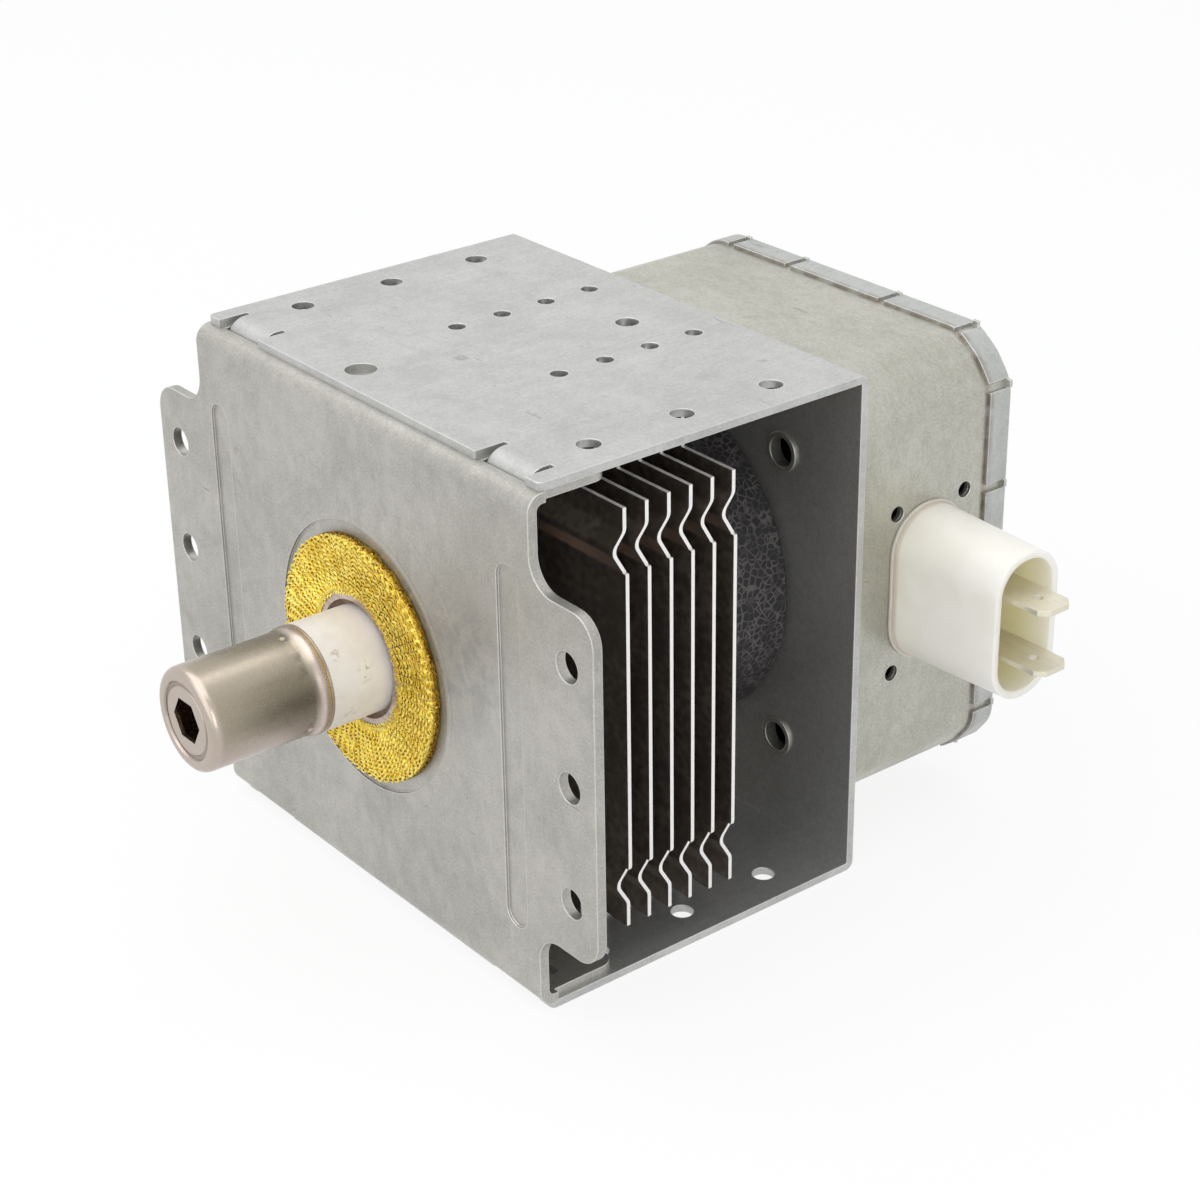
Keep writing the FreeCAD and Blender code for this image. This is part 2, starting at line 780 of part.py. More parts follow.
def filament():
    body = new_body("filament")
    section = new_sketch(body, TOP, "WireSection")
    start = TUBE_MIDDLE - S.coil_pitch * (COIL_TURNS / 2)
    wire = S.coil_wire
    rectangle(S.coil_round - wire, S.coil_round + wire, start - wire, start + wire)(section)
    helix = body.newObject("PartDesign::AdditiveHelix", "Helix")
    helix.Profile = section
    helix.ReferenceAxis = (section, ["V_Axis"])
    helix.Mode = "pitch-height-angle"
    bind(helix, "Pitch", S.coil_pitch)
    bind(helix, "Height", S.coil_pitch * COIL_TURNS)
    return body


def end_hats():
    reach = S.coil_pitch * (COIL_TURNS / 2) + S.coil_wire + S.hat_gap
    front_face = TUBE_MIDDLE - reach
    back_face = TUBE_MIDDLE + reach
    front = front_face - S.hat_thick
    turned("front_end_hat", [(S.lead_round, front), (S.hat_round, front), (S.hat_round, front_face),
                             (S.lead_round, front_face)])
    bore = S.coil_round - S.coil_wire
    back = back_face + S.hat_thick
    turned("rear_end_hat", [(bore, back_face), (S.hat_round, back_face), (S.hat_round, back), (bore, back)])
    return front, back


def leads(front, back):
    """Two straight rods back through the stem."""
    end = S.stem_back + S.terminal_thick
    lead("centre_lead", 0, front, end)
    lead("side_lead", -S.side_lead_down, back, end)


def lead(label, up, start, end):
    rod = doc.addObject("Part::Cylinder", label)
    rod.Label = label
    bind(rod, "Radius", S.lead_round)
    bind(rod, "Height", end - start)
    rod.Placement = FreeCAD.Placement(FreeCAD.Vector(), FreeCAD.Rotation(FreeCAD.Vector(1, 0, 0), -90))
    bind(rod, "Placement.Base.y", start)
    bind(rod, "Placement.Base.z", up)


# Output side: seal cup, ceramic, seal ring, exhaust tube, antenna and cap


def seal_cup(label, foot_face, outward):
    """A cup brazed to the pole piece, folded in at its rim to a seat for the ceramic."""
    outer, wall = S.cup_round, S.cup_round - S.cup_wall
    rim = foot_face + S.cup_long * outward
    seat = foot_face + S.cup_seat * outward
    under = seat - S.cup_wall * outward
    hollow = outer - S.cup_rim
    return turned(label, [(outer, foot_face), (outer, rim), (hollow, rim), (hollow, seat),
                          (S.cup_mouth, seat), (S.cup_mouth, under), (wall, under), (wall, foot_face)])


def output_ceramic():
    inner, outer, front = S.ceramic_bore, S.ceramic_round, S.ceramic_front
    return turned("output_ceramic", [(inner, front), (outer, front),
                                     (outer, CERAMIC_BACK), (inner, CERAMIC_BACK)])


def output_seal_ring():
    """A flanged neck on the ceramic: the cap is pressed over it and it holds the exhaust tube."""
    front = SEAL_FRONT - S.seal_long
    inside = S.seal_neck - S.seal_wall
    return turned("output_seal_ring", [
        (S.ceramic_bore, S.ceramic_front), (S.ceramic_round, S.ceramic_front),
        (S.ceramic_round, SEAL_FRONT), (S.seal_neck, SEAL_FRONT), (S.seal_neck, front),
        (S.exhaust_round, front), (S.exhaust_round, front + S.seal_wall),
        (inside, front + S.seal_wall), (inside, SEAL_FRONT), (S.ceramic_bore, SEAL_FRONT)])


def exhaust_tube():
    """A copper tube pinched flat at its tip."""
    root = SEAL_FRONT - S.seal_long + S.seal_wall
    bore, outer = S.exhaust_round - S.exhaust_wall, S.exhaust_round
    closed = S.antenna_tip
    body = turned("exhaust_tube", [(0, closed), (0, S.exhaust_tip), (outer, S.exhaust_tip), (outer, root),
                                   (bore, root), (bore, closed)])
    half, clear = S.pinch_thick * 0.5, outer * 2
    tip, heel = S.exhaust_tip, S.exhaust_tip + S.pinch_long
    wedges = [polyline([(tip, half * side), (heel, outer * side), (heel, clear * side), (tip, clear * side)])
              for side in SIDES]
    cut(body, "Pinch", SIDE, -outer, outer, *wedges)
    return body


def antenna_lead():
    """A rod from one vane, through the pole piece, to the tube's axis."""
    body = new_body("antenna_lead")
    across = S.antenna_across
    path = [(across, VANE_FRONT), (across, S.antenna_bend), (0, S.antenna_meet), (0, S.antenna_tip)]
    piped(body, "Rod", TOP, path, FRONT, -VANE_FRONT, (across, 0), S.antenna_round)
    return body


def antenna_cap():
    """A drawn cap with a rounded nose, a pressed face and a six-sided hole."""
    outer, wall, nose = S.cap_round, S.cap_wall, S.cap_nose
    face = nose + S.cap_face_deep
    inside = face + wall
    bore = outer - wall
    lip = SEAL_FRONT - S.cap_lip_long
    body = turned("antenna_cap", [
        (bore, SEAL_FRONT), (S.cap_lip_round, SEAL_FRONT), (S.cap_lip_round, lip),
        (outer, lip - (S.cap_lip_round - outer)), (outer, nose), (S.cap_face_round, nose),
        (S.cap_face_round - S.cap_face_deep, face), (0, face), (0, inside),
        (bore - S.cap_nose_round, inside), (bore, inside + S.cap_nose_round)])
    rounded(body, "Nose", S.cap_nose_round, r=[outer], y=[nose])
    turns = [corner * math.pi / 3 for corner in range(6)]
    corners = [(S.hexagon_half * math.cos(turn), S.hexagon_half * math.sin(turn)) for turn in turns]
    cut(body, "Hexagon", FRONT, nose, inside, polyline(corners))
    return body


def gasket():
    """A ring of knitted wire that seals the plate to the oven."""
    inner, outer = S.cup_round + S.gasket_clearance, S.gasket_round
    front, back = -S.gasket_proud, S.seat_deep
    edge = S.gasket_edge
    return turned("rf_gasket", [(inner, back), (outer, back), (outer, front + edge),
                                (outer - edge, front), (inner, front)])


# Input side: stem, filter box, lid, capacitor, connector and chokes


def stem_ceramic():
    outer, front, back = S.ceramic_round, STEM_FRONT, S.stem_back
    middle = (front + back) * 0.5
    neck = outer - S.stem_groove
    near, far = middle - S.stem_groove, middle + S.stem_groove
    body = turned("stem_ceramic", [(0, front), (outer, front), (outer, near), (neck, near), (neck, far),
                                   (outer, far), (outer, back), (0, back)])
    holes = [circle(0, up, S.lead_round) for up in (0, -S.side_lead_down)]
    cut(body, "LeadHoles", FRONT, front, back, *holes)
    return body


def stem_terminal(label, edge, side, lead_up):
    """A metal segment on the stem's end with a stud for the choke's wire."""
    body = new_body(label)
    back = S.stem_back + S.terminal_thick
    pad(body, "Disc", FRONT, S.stem_back, back, circle(0, 0, S.terminal_round))
    far = S.terminal_round * -side
    low, high = (far, edge) if side > 0 else (edge, far)
    segment = rectangle(-S.terminal_round, S.terminal_round, low, high)
    cut(body, "Segment", FRONT, S.stem_back, back, segment)
    cut(body, "LeadHole", FRONT, S.stem_back, back, circle(0, lead_up, S.lead_round))
    pad(body, "Stud", FRONT, S.stem_back, back + S.lug_long, circle(0, S.lug_up * side, S.lug_round))
    return body


def box_outline(inset):
    """The box's outline with bowed corners, drawn in from the lid's outer face."""
    wide, tall = S.lid_half_wide - inset, S.lid_half_tall - inset
    lean = math.atan(math.sqrt(2) * S.corner_bow.number / S.corner_leg.number)
    leg = S.corner_leg - inset * (1 - math.tan(math.pi / 8 - lean / 2))
    middle = (S.corner_leg - S.corner_bow * math.sqrt(2)) * 0.5
    middle -= inset * (1 - math.sqrt(0.5) / math.cos(lean))
    corner = [(wide, tall - leg), (wide - middle, tall - middle), (wide - leg, tall)]
    upper = corner + [(-across, up) for across, up in reversed(corner)]
    outline = upper + [(across, -up) for across, up in reversed(upper)]
    return [(S.box_x + across, S.box_z + up) for across, up in outline]


def filter_box():
    body = new_body("filter_box")
    sheet_thick = S.box_sheet
    floor = YOKE_BACK + sheet_thick
    pad(body, "Block", FRONT, YOKE_BACK, LID_INSIDE, polyline(box_outline(sheet_thick)))
    round_between(body, "OuterCorners", S.corner_blend - sheet_thick, "y", YOKE_BACK, LID_INSIDE)
    cut(body, "Inside", FRONT, floor, LID_INSIDE, polyline(box_outline(sheet_thick * 2)))
    round_between(body, "InnerCorners", S.corner_blend - sheet_thick * 2, "y", floor, LID_INSIDE)
    eyelets, rims, bores = [], [], [circle(0, 0, TUBE_HOLE)]
    for across, up in eyelet_places():
        outer = S.eyelet_bore + S.eyelet_wall
        eyelets.append(circle(across, up, outer))
        rims.append(circle(across, up, outer + S.eyelet_rim))
        bores.append(circle(across, up, S.eyelet_bore))
    rim_front = YOKE_INSIDE - S.eyelet_rim_thick
    pad(body, "Eyelets", FRONT, rim_front, YOKE_BACK, *eyelets)
    pad(body, "EyeletRims", FRONT, rim_front, YOKE_INSIDE, *rims)
    cut(body, "Bores", FRONT, rim_front, floor, *bores)
    opening = connector_outline(S.spigot_clearance - S.spigot_inset)
    cut(body, "ConnectorOpening", SIDE, BOX_INSIDE, BOX_RIGHT, opening)
    cut(body, "ConnectorHoles", SIDE, BOX_INSIDE, BOX_RIGHT, *connector_holes())
    return body


def filter_lid():
    body = new_body("filter_lid")
    sheet_thick = S.box_sheet
    skirt = S.lid_back - S.lid_skirt
    pad(body, "Cover", FRONT, skirt, S.lid_back, polyline(box_outline(0)))
    round_between(body, "OuterCorners", S.corner_blend, "y", skirt, S.lid_back)
    cut(body, "Inside", FRONT, skirt, LID_INSIDE, polyline(box_outline(sheet_thick)))
    round_between(body, "InnerCorners", S.corner_blend - sheet_thick, "y", skirt, LID_INSIDE)
    gaps, lugs = lid_gaps()
    cut(body, "Gaps", FRONT, skirt, LID_INSIDE, *gaps)
    pad(body, "Lugs", FRONT, LID_INSIDE, S.lid_back, *lugs)
    return body


def lid_gaps():
    """The breaks between the lid's crimped tabs, each with a small lug at the lid's edge."""
    gaps, lugs = [], []
    half, lug = S.gap_wide * 0.5, S.lug_wide * 0.5
    for side in SIDES:
        edge = S.box_z + S.lid_half_tall * side
        low, high = edge - S.box_sheet * 2 * side, edge + S.lug_out * side
        for place in TOP_GAPS:
            middle = S.box_x + place
            gaps.append(rectangle(middle - half, middle + half, low, high))
            lugs.append(rectangle(middle - lug, middle + lug, low, high))
        edge = S.box_x + S.lid_half_wide * side
        low, high = edge - S.box_sheet * 2 * side, edge + S.lug_out * side
        for place in SIDE_GAPS:
            middle = S.box_z + place
            gaps.append(rectangle(low, high, middle - half, middle + half))
            lugs.append(rectangle(low, high, middle - lug, middle + lug))
    return gaps, lugs


def connector_outline(outset):
    """The connector's outline, larger than the housing's base by the outset."""
    deep, tall = S.housing_half_deep + outset, S.housing_half_tall + outset
    middle, height = S.connector_y, S.connector_z
    corner = S.housing_half_deep - S.housing_end_flat + outset
    return rounded_rectangle(middle - deep, middle + deep, height - tall, height + tall, corner)


def connector_holes():
    places = [(deep, up) for deep in SIDES for up in SIDES]
    return [circle(S.hole_middle_y + S.hole_deep_half * deep, S.box_z + S.hole_tall_half * up,
                   S.connector_hole_round) for deep, up in places]


def filter_plate():
    """The capacitor's earthed plate, held inside the box's wall by its four holes."""
    body = new_body("filter_plate")
    near, far = FILTER_PLATE, BOX_INSIDE
    deep, tall = S.hole_deep_half + S.plate_margin, S.hole_tall_half + S.plate_margin
    middle, height = S.hole_middle_y, S.box_z
    outline = rectangle(middle - deep, middle + deep, height - tall, height + tall)
    pad(body, "Plate", SIDE, near, far, outline)
    cut(body, "Opening", SIDE, near, far, connector_outline(S.spigot_clearance - S.spigot_inset))
    cut(body, "Holes", SIDE, near, far, *connector_holes())
    return body


def blade_slots(wide):
    half, thick = wide * 0.5, S.blade_thick * 0.5
    middle = S.connector_y
    return [rectangle(middle - half, middle + half, up - thick, up + thick) for up in BLADE_HEIGHTS]


def connector_housing():
    """An open tapered shroud on a base lip, with a spigot through the box's wall."""
    body = new_body("connector_housing")
    end = BOX_RIGHT + S.housing_long
    mouth = BOX_RIGHT + S.housing_floor
    shroud = pad(body, "Shroud", SIDE, BOX_RIGHT, end, connector_outline(0))
    shroud.setExpression("TaperAngle", "-atan(Sizes.housing_draft / Sizes.housing_long)")
    cut(body, "Socket", SIDE, mouth, end, connector_outline(-S.housing_wall - S.housing_draft))
    lip_end = BOX_RIGHT + S.housing_lip_thick
    pad(body, "Lip", SIDE, BOX_RIGHT, lip_end, connector_outline(S.housing_lip))
    pad(body, "Spigot", SIDE, FILTER_PLATE, BOX_RIGHT, connector_outline(-S.spigot_inset))
    cut(body, "TailSlots", SIDE, FILTER_PLATE, mouth, *blade_slots(S.tail_wide))
    return body


def capacitor_body():
    body = new_body("capacitor_body")
    pad(body, "Block", SIDE, CAPACITOR_END, FILTER_PLATE, connector_outline(S.capacitor_outset))
    cut(body, "TailSlots", SIDE, CAPACITOR_END, FILTER_PLATE, *blade_slots(S.tail_wide))
    return body


def terminal_blade(label, height):
    """A tab with a bevelled tip and a hole, and a narrow tail through the capacitor."""
    body = new_body(label)
    middle, tip = S.connector_y, S.blade_tip
    floor = BOX_RIGHT + S.housing_floor
    shoulder = floor + S.blade_shoulder_long
    tail = CAPACITOR_END - S.tail_out
    half, bevel = S.blade_wide * 0.5, S.blade_chamfer
    narrow, broad = S.tail_wide * 0.5, S.blade_shoulder_wide * 0.5
    upper = [(tail, narrow), (floor, narrow), (floor, broad), (shoulder, broad), (shoulder, half),
             (tip - bevel, half), (tip, half - bevel)]
    outline = [(along, middle + out) for along, out in upper]
    outline += [(along, middle - out) for along, out in reversed(upper)]
    low, high = height - S.blade_thick * 0.5, height + S.blade_thick * 0.5
    pad(body, "Tab", TOP, low, high, polyline(outline))
    cut(body, "TabHole", TOP, low, high, circle(tip - S.blade_hole_back, middle, S.blade_hole_round))
    return body


def choke_coil(label, side, terminal_height):
    """A wound coil with its two leads, drawn about its own axis and then set in place."""
    body = new_body(label)
    up = terminal_height * side - S.choke_up
    skin, bore = S.choke_round, S.core_round
    start, end = S.choke_start, S.choke_start + S.choke_long
    spun(body, "Winding", [(start, bore), (start, skin), (end, skin), (end, bore)], "H_Axis")
    level = S.choke_wire - skin
    stud = S.lug_up - S.choke_up
    inner_x = start + S.choke_wire * 2
    inner = [(inner_x, level), (inner_x, stud), (-S.lug_round, stud)]
    piped(body, "StemLead", FRONT, inner, TOP, level, (inner_x, 0), S.choke_wire)
    outer_x = end - S.choke_wire * 2
    tail = CAPACITOR_END - S.tail_out
    outer = [(outer_x, level), (outer_x, up), (tail, up)]
    piped(body, "FilterLead", FRONT, outer, TOP, level, (outer_x, 0), S.choke_wire)
    flip = 0 if side > 0 else 180
    body.Placement = FreeCAD.Placement(FreeCAD.Vector(), FreeCAD.Rotation(FreeCAD.Vector(1, 0, 0), flip))
    bind(body, "Placement.Base.y", S.choke_y)
    bind(body, "Placement.Base.z", S.choke_up * side)
    return body


def ferrite_core(label, side):
    rod = doc.addObject("Part::Cylinder", label)
    rod.Label = label
    bind(rod, "Radius", S.core_round)
    bind(rod, "Height", S.choke_long + S.core_overhang * 2)
    rod.Placement = FreeCAD.Placement(FreeCAD.Vector(), FreeCAD.Rotation(FreeCAD.Vector(0, 1, 0), 90))
    bind(rod, "Placement.Base.x", S.choke_start - S.core_overhang)
    bind(rod, "Placement.Base.y", S.choke_y)
    bind(rod, "Placement.Base.z", S.choke_up * side)


# The whole object


def build_all():
    front_plate()
    yoke_channel()
    for index in range(FINS):
        fin(index)
    magnet("front_magnet", S.plate_thick)
    magnet("rear_magnet", POLE_BACK)
    anode_shell()
    front_pole_piece()
    pole_piece("rear_pole_piece", POLE_BACK, -1)
    for index in range(VANES):
        vane(index)
    for ring, name in enumerate(("inner", "outer")):
        strap(f"front_{name}_strap", ring, VANE_FRONT, 1)
        strap(f"rear_{name}_strap", ring, VANE_BACK, -1)
    filament()
    front, back = end_hats()
    leads(front, back)
    seal_cup("output_seal_cup", POLE_FRONT, -1)
    seal_cup("input_seal_cup", POLE_BACK, 1)
    output_ceramic()
    output_seal_ring()
    exhaust_tube()
    antenna_lead()
    antenna_cap()
    gasket()
    stem_ceramic()
    stem_terminal("upper_stem_terminal", S.terminal_upper_edge, 1, 0)
    stem_terminal("lower_stem_terminal", S.terminal_lower_edge, -1, -S.side_lead_down)
    filter_box()
    filter_lid()
    filter_plate()
    capacitor_body()
    connector_housing()
    for name, side, height in zip(("upper", "lower"), SIDES, BLADE_HEIGHTS):
        terminal_blade(f"{name}_terminal_blade", height)
        choke_coil(f"{name}_choke_coil", side, height)
        ferrite_core(f"{name}_ferrite_core", side)


def checked_pieces():
    """Every finished piece, after making sure that nothing in the document has failed."""
    failed = [item.Name for item in doc.Objects if {"Invalid", "Error"} & set(item.State)]
    if failed:
        raise RuntimeError(f"failed: {failed}")
    pieces = [item for item in doc.Objects if item.TypeId in ("PartDesign::Body", "Part::Cylinder")]
    for piece in pieces:
        shape = piece.Shape
        if shape.isNull() or not shape.isValid() or len(shape.Solids) != 1:
            raise RuntimeError(f"{piece.Label} is not one valid solid")
    return pieces


def write_pieces(pieces):
    os.makedirs("parts", exist_ok=True)
    for piece in pieces:
        piece.Shape.exportStep(f"parts/{piece.Label}.step")
    print(len(pieces), "pieces written")


build_all()
doc.recompute()
write_pieces(checked_pieces())
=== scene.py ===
import bpy
import math
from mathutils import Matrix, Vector


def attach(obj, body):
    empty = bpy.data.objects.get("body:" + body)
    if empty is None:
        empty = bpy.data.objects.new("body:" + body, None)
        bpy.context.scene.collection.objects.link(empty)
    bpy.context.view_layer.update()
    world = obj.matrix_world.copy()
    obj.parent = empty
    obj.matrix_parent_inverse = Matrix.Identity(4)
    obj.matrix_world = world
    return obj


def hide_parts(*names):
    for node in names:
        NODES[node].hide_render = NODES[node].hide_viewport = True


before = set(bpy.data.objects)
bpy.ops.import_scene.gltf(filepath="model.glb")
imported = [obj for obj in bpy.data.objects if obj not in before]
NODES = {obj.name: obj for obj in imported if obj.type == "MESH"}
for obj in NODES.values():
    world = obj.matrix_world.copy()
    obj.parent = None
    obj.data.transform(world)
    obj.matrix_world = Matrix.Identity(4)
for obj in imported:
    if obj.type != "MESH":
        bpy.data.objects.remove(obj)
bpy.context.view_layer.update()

# Lengths are in millimetres, and MM turns them into Blender's metres where they are used. Y runs along
# the tube's axis, from the cap's nose at -29 to the lid at 90.8. The mounting plate's face is at Y = 0.

MM = 0.001
FINS = [f"cooling_fin_{i}" for i in range(1, 7)]
VANES = [f"anode_vane_{i}" for i in range(1, 11)]
STRAPS = ["front_inner_strap", "front_outer_strap", "rear_inner_strap", "rear_outer_strap"]


# Materials

LID_SEAM = 86.7
SEAM_MARK_HALF_WIDE = 1.1
SMUDGE_MIDDLE = (25.0, 0.0, 9.0)
SMUDGE_REACH = 17.0
RING_MARKS = ((26.6, 0.8, 2.2), (21.3, 0.5, 1.6))  # radius, half width and depth of each ring on the plate
EDGE_WEAR = 0.3
BEVEL_SAMPLES = 6

CAP_NOSE_STARTS, CAP_NOSE_FULL = -27.2, -28.3
CAP_NOSE_GROOVE = 5.35
CAP_MARKS_START, CAP_MARKS_FULL = -15.5, -12.9
CAP_LIP_STARTS, CAP_LIP_FULL = -12.5, -11.6

SCUFFS = (((7.2, -4.6, 2.6), 2.3), ((7.4, -6.9, -2.9), 1.9), ((5.8, -8.0, 5.2), 1.2))  # middle and reach
SCUFF_SHIFT = (3.0, 7.5, 0)

SOCKET_MIDDLE = (0.0, 75.1, 2.45)
SOCKET_CORE = (0.0, 0.3, 5.5)  # half lengths of the straight part of the socket's outline
SOCKET_ROUND = 4.85
SOCKET_RIM = 57.2
HOUSING_FOOT_END, HOUSING_FOOT = 38.1, 37.4


class Finish:
    """A material being mixed. Its patterns are laid out in millimetres of the object's own frame."""

    def __init__(self, name):
        self.material = bpy.data.materials.new(name)
        self.material.use_nodes = True
        self.tree = self.material.node_tree
        self.tree.nodes.clear()
        self.shader = self.node("ShaderNodeBsdfPrincipled")
        output = self.node("ShaderNodeOutputMaterial")
        self.tree.links.new(self.shader.outputs[0], output.inputs["Surface"])
        coords = self.node("ShaderNodeTexCoord").outputs["Object"]
        self.place = self.vector("SCALE", coords, scale=1.0 / MM)
        self.axes = self.node("ShaderNodeSeparateXYZ", Vector=self.place).outputs

    def node(self, kind, **inputs):
        made = self.tree.nodes.new(kind)
        for name, value in inputs.items():
            self.feed(made.inputs[name.replace("_", " ")], value)
        return made

    def feed(self, socket, value):
        if isinstance(value, bpy.types.NodeSocket):
            self.tree.links.new(value, socket)
        else:
            socket.default_value = value

    def set(self, **inputs):
        for name, value in inputs.items():
            self.feed(self.shader.inputs[name.replace("_", " ")], value)

    def vector(self, operation, first, second=None, scale=None):
        made = self.tree.nodes.new("ShaderNodeVectorMath")
        made.operation = operation
        self.feed(made.inputs[0], first)
        if second is not None:
            self.feed(made.inputs[1], second)
        if scale is not None:
            self.feed(made.inputs["Scale"], scale)
        return made.outputs["Value" if operation in ("LENGTH", "DISTANCE", "DOT_PRODUCT") else "Vector"]

    def math(self, operation, first, second=0.0):
        made = self.tree.nodes.new("ShaderNodeMath")
        made.operation = operation
        for socket, value in zip(made.inputs, (first, second)):
            self.feed(socket, value)
        return made.outputs[0]

    def times(self, first, second):
        return self.math("MULTIPLY", first, second)

    def mixed(self, *shares):
        """The sum of several patterns, each times its share."""
        parts = [self.times(pattern, share) for pattern, share in shares]
        total = parts[0]
        for part in parts[1:]:
            total = self.math("ADD", total, part)
        return total

    def gap(self, value, middle):
        """How far a value is from a middle one, on either side."""
        return self.math("ABSOLUTE", self.math("SUBTRACT", value, middle))

    def stretched(self, factors, shift=(0, 0, 0)):
        """The frame's coordinates, shifted and then stretched."""
        return self.vector("MULTIPLY", self.vector("ADD", self.place, shift), factors)

    def shifted(self, shift):
        return self.vector("ADD", self.place, shift)

    def from_axis(self):
        """The distance from the tube's axis."""
        return self.vector("LENGTH", self.stretched((1, 0, 1)))

    def noise(self, scale, detail=3.0, rough=0.55, vector=None, bend=0.0):
        made = self.node("ShaderNodeTexNoise", Vector=vector or self.place, Scale=scale, Detail=detail,
                         Roughness=rough, Distortion=bend)
        return made.outputs["Fac"]

    def cell_joints(self, scale, vector):
        """How far a point is from the nearest joint between random cells."""
        made = self.node("ShaderNodeTexVoronoi", Vector=vector, Scale=scale)
        made.feature = "DISTANCE_TO_EDGE"
        return made.outputs["Distance"]

    def span(self, value, low, high, out_low=0.0, out_high=1.0):
        """Maps a range of values to another, smoothly and without overshoot."""
        made = self.node("ShaderNodeMapRange", Value=value)
        made.interpolation_type = "SMOOTHSTEP"
        for name, number in (("From Min", low), ("From Max", high), ("To Min", out_low), ("To Max", out_high)):
            made.inputs[name].default_value = number
        return made.outputs["Result"]

    def blend(self, factor, first, second):
        """Goes from the first colour to the second as the factor rises."""
        made = self.tree.nodes.new("ShaderNodeMix")
        made.data_type = "RGBA"
        self.feed(made.inputs["Factor"], factor)
        for name, value in (("A", first), ("B", second)):
            socket = next(s for s in made.inputs if s.name == name and s.type == "RGBA")
            self.feed(socket, value if isinstance(value, bpy.types.NodeSocket) else (*value, 1.0))
        return next(s for s in made.outputs if s.type == "RGBA")

    def marked(self, colour, where, strength, mark):
        """The colour with a mark of another colour laid over it."""
        return self.blend(self.times(where, strength), colour, mark)

    def bevel(self, radius):
        made = self.node("ShaderNodeBevel", Radius=radius * MM)
        made.samples = BEVEL_SAMPLES
        return made.outputs["Normal"]

    def cut_edge(self):
        """One where the surface faces along X or Z, as a sheet's sawn or sheared edge does."""
        normal = self.node("ShaderNodeNewGeometry").outputs["True Normal"]
        parts = self.node("ShaderNodeSeparateXYZ", Vector=normal).outputs
        most = self.math("MAXIMUM", self.math("ABSOLUTE", parts["X"]), self.math("ABSOLUTE", parts["Z"]))
        return self.span(most, 0.9, 0.97)

    def worn_edge(self):
        """Rises where an edge is near, so that it can be shown rubbed bright."""
        flat = self.node("ShaderNodeNewGeometry").outputs["Normal"]
        turn = self.vector("DOT_PRODUCT", self.bevel(EDGE_WEAR), flat)
        return self.span(turn, 0.995, 0.9, 0.0, 0.7)

    def relief(self, height, distance, strength, softened=0.0):
        """Bump of the given height in millimetres, over corners that are softened by a radius."""
        made = self.node("ShaderNodeBump", Height=height, Strength=strength, Distance=distance * MM)
        if softened:
            self.feed(made.inputs["Normal"], self.bevel(softened))
        self.feed(self.shader.inputs["Normal"], made.outputs["Normal"])
        return self


def darker(colour, share):
    return [part * share for part in colour]


def zinc(name, pale, dark, brush, grain=1.0, streaks=0.2, rough=0.45, handled=False, rust_and_seam_shade=0.0):
    """Zinc-coated sheet: cloudy blooms, fine grain, brushing in one direction and a few fine scratches.

    A handled sheet also has a smudge and the ring marks round its gasket. A brown line along the lid's seam is
    partly rust and partly a painted shadow line of the seam's gap.
    """
    f = Finish(name)
    cloud = f.noise(0.05, 4, 0.6, bend=0.4)
    bloom = f.noise(0.3, 5, 0.65)
    grains = f.noise(2.6, 3, 0.6)
    lines = f.noise(1.0, 3, 0.6, vector=f.stretched(brush))
    tone = f.mixed((cloud, 0.34), (bloom, 0.22), (grains, 0.24 * grain), (lines, streaks))
    tone = f.math("ADD", tone, 0.22 - 0.5 * streaks - 0.12 * grain)
    colour = f.blend(f.span(tone, 0.36, 0.64), dark, pale)

    smudge = f.span(f.noise(0.08, 4, 0.7, vector=f.shifted((37, 11, 5)), bend=0.8), 0.57, 0.72)
    colour = f.marked(colour, smudge, 0.3, darker(dark, 0.74))
    specks = f.span(f.noise(0.55, 5, 0.72, vector=f.shifted((9, 23, 41))), 0.60, 0.74)
    colour = f.marked(colour, specks, 0.4, (0.29, 0.25, 0.215))
    scratch = f.noise(0.9, 2, 0.5, vector=f.stretched((0.12, 0.5, 2.2), (4, 19, 8)), bend=0.5)
    scratch = f.times(f.span(scratch, 0.70, 0.74), f.span(bloom, 0.5, 0.6))
    colour = f.marked(colour, scratch, 0.5, darker(dark, 0.55))
    if handled:
        away = f.vector("DISTANCE", f.place, SMUDGE_MIDDLE)
        touched = f.times(f.span(away, SMUDGE_REACH, 4.0), f.span(bloom, 0.38, 0.62))
        colour = f.marked(colour, touched, 0.55, (0.27, 0.275, 0.275))
    if rust_and_seam_shade:
        # rust along the lid's seam, darkened further by a painted shadow line of the seam's gap
        seam = f.gap(f.axes["Y"], LID_SEAM)
        seam_rust_and_shade = f.times(f.span(seam, SEAM_MARK_HALF_WIDE, 0.15), f.span(bloom, 0.36, 0.6))
        colour = f.marked(colour, seam_rust_and_shade, rust_and_seam_shade, (0.20, 0.14, 0.10))
    colour = f.blend(f.worn_edge(), colour, (0.80, 0.80, 0.77))

    height = f.mixed((grains, 0.5), (lines, 0.5))
    if handled:
        for radius, half_wide, deep in RING_MARKS:
            groove = f.span(f.gap(f.from_axis(), radius), half_wide, 0.0, 0.0, deep)
            height = f.math("SUBTRACT", height, groove)
    f.set(Base_Color=colour, Metallic=0.85, Roughness=f.span(tone, 0.3, 0.7, rough + 0.07, rough - 0.07))
    return f.relief(height, 0.05, 0.35, softened=0.22).material


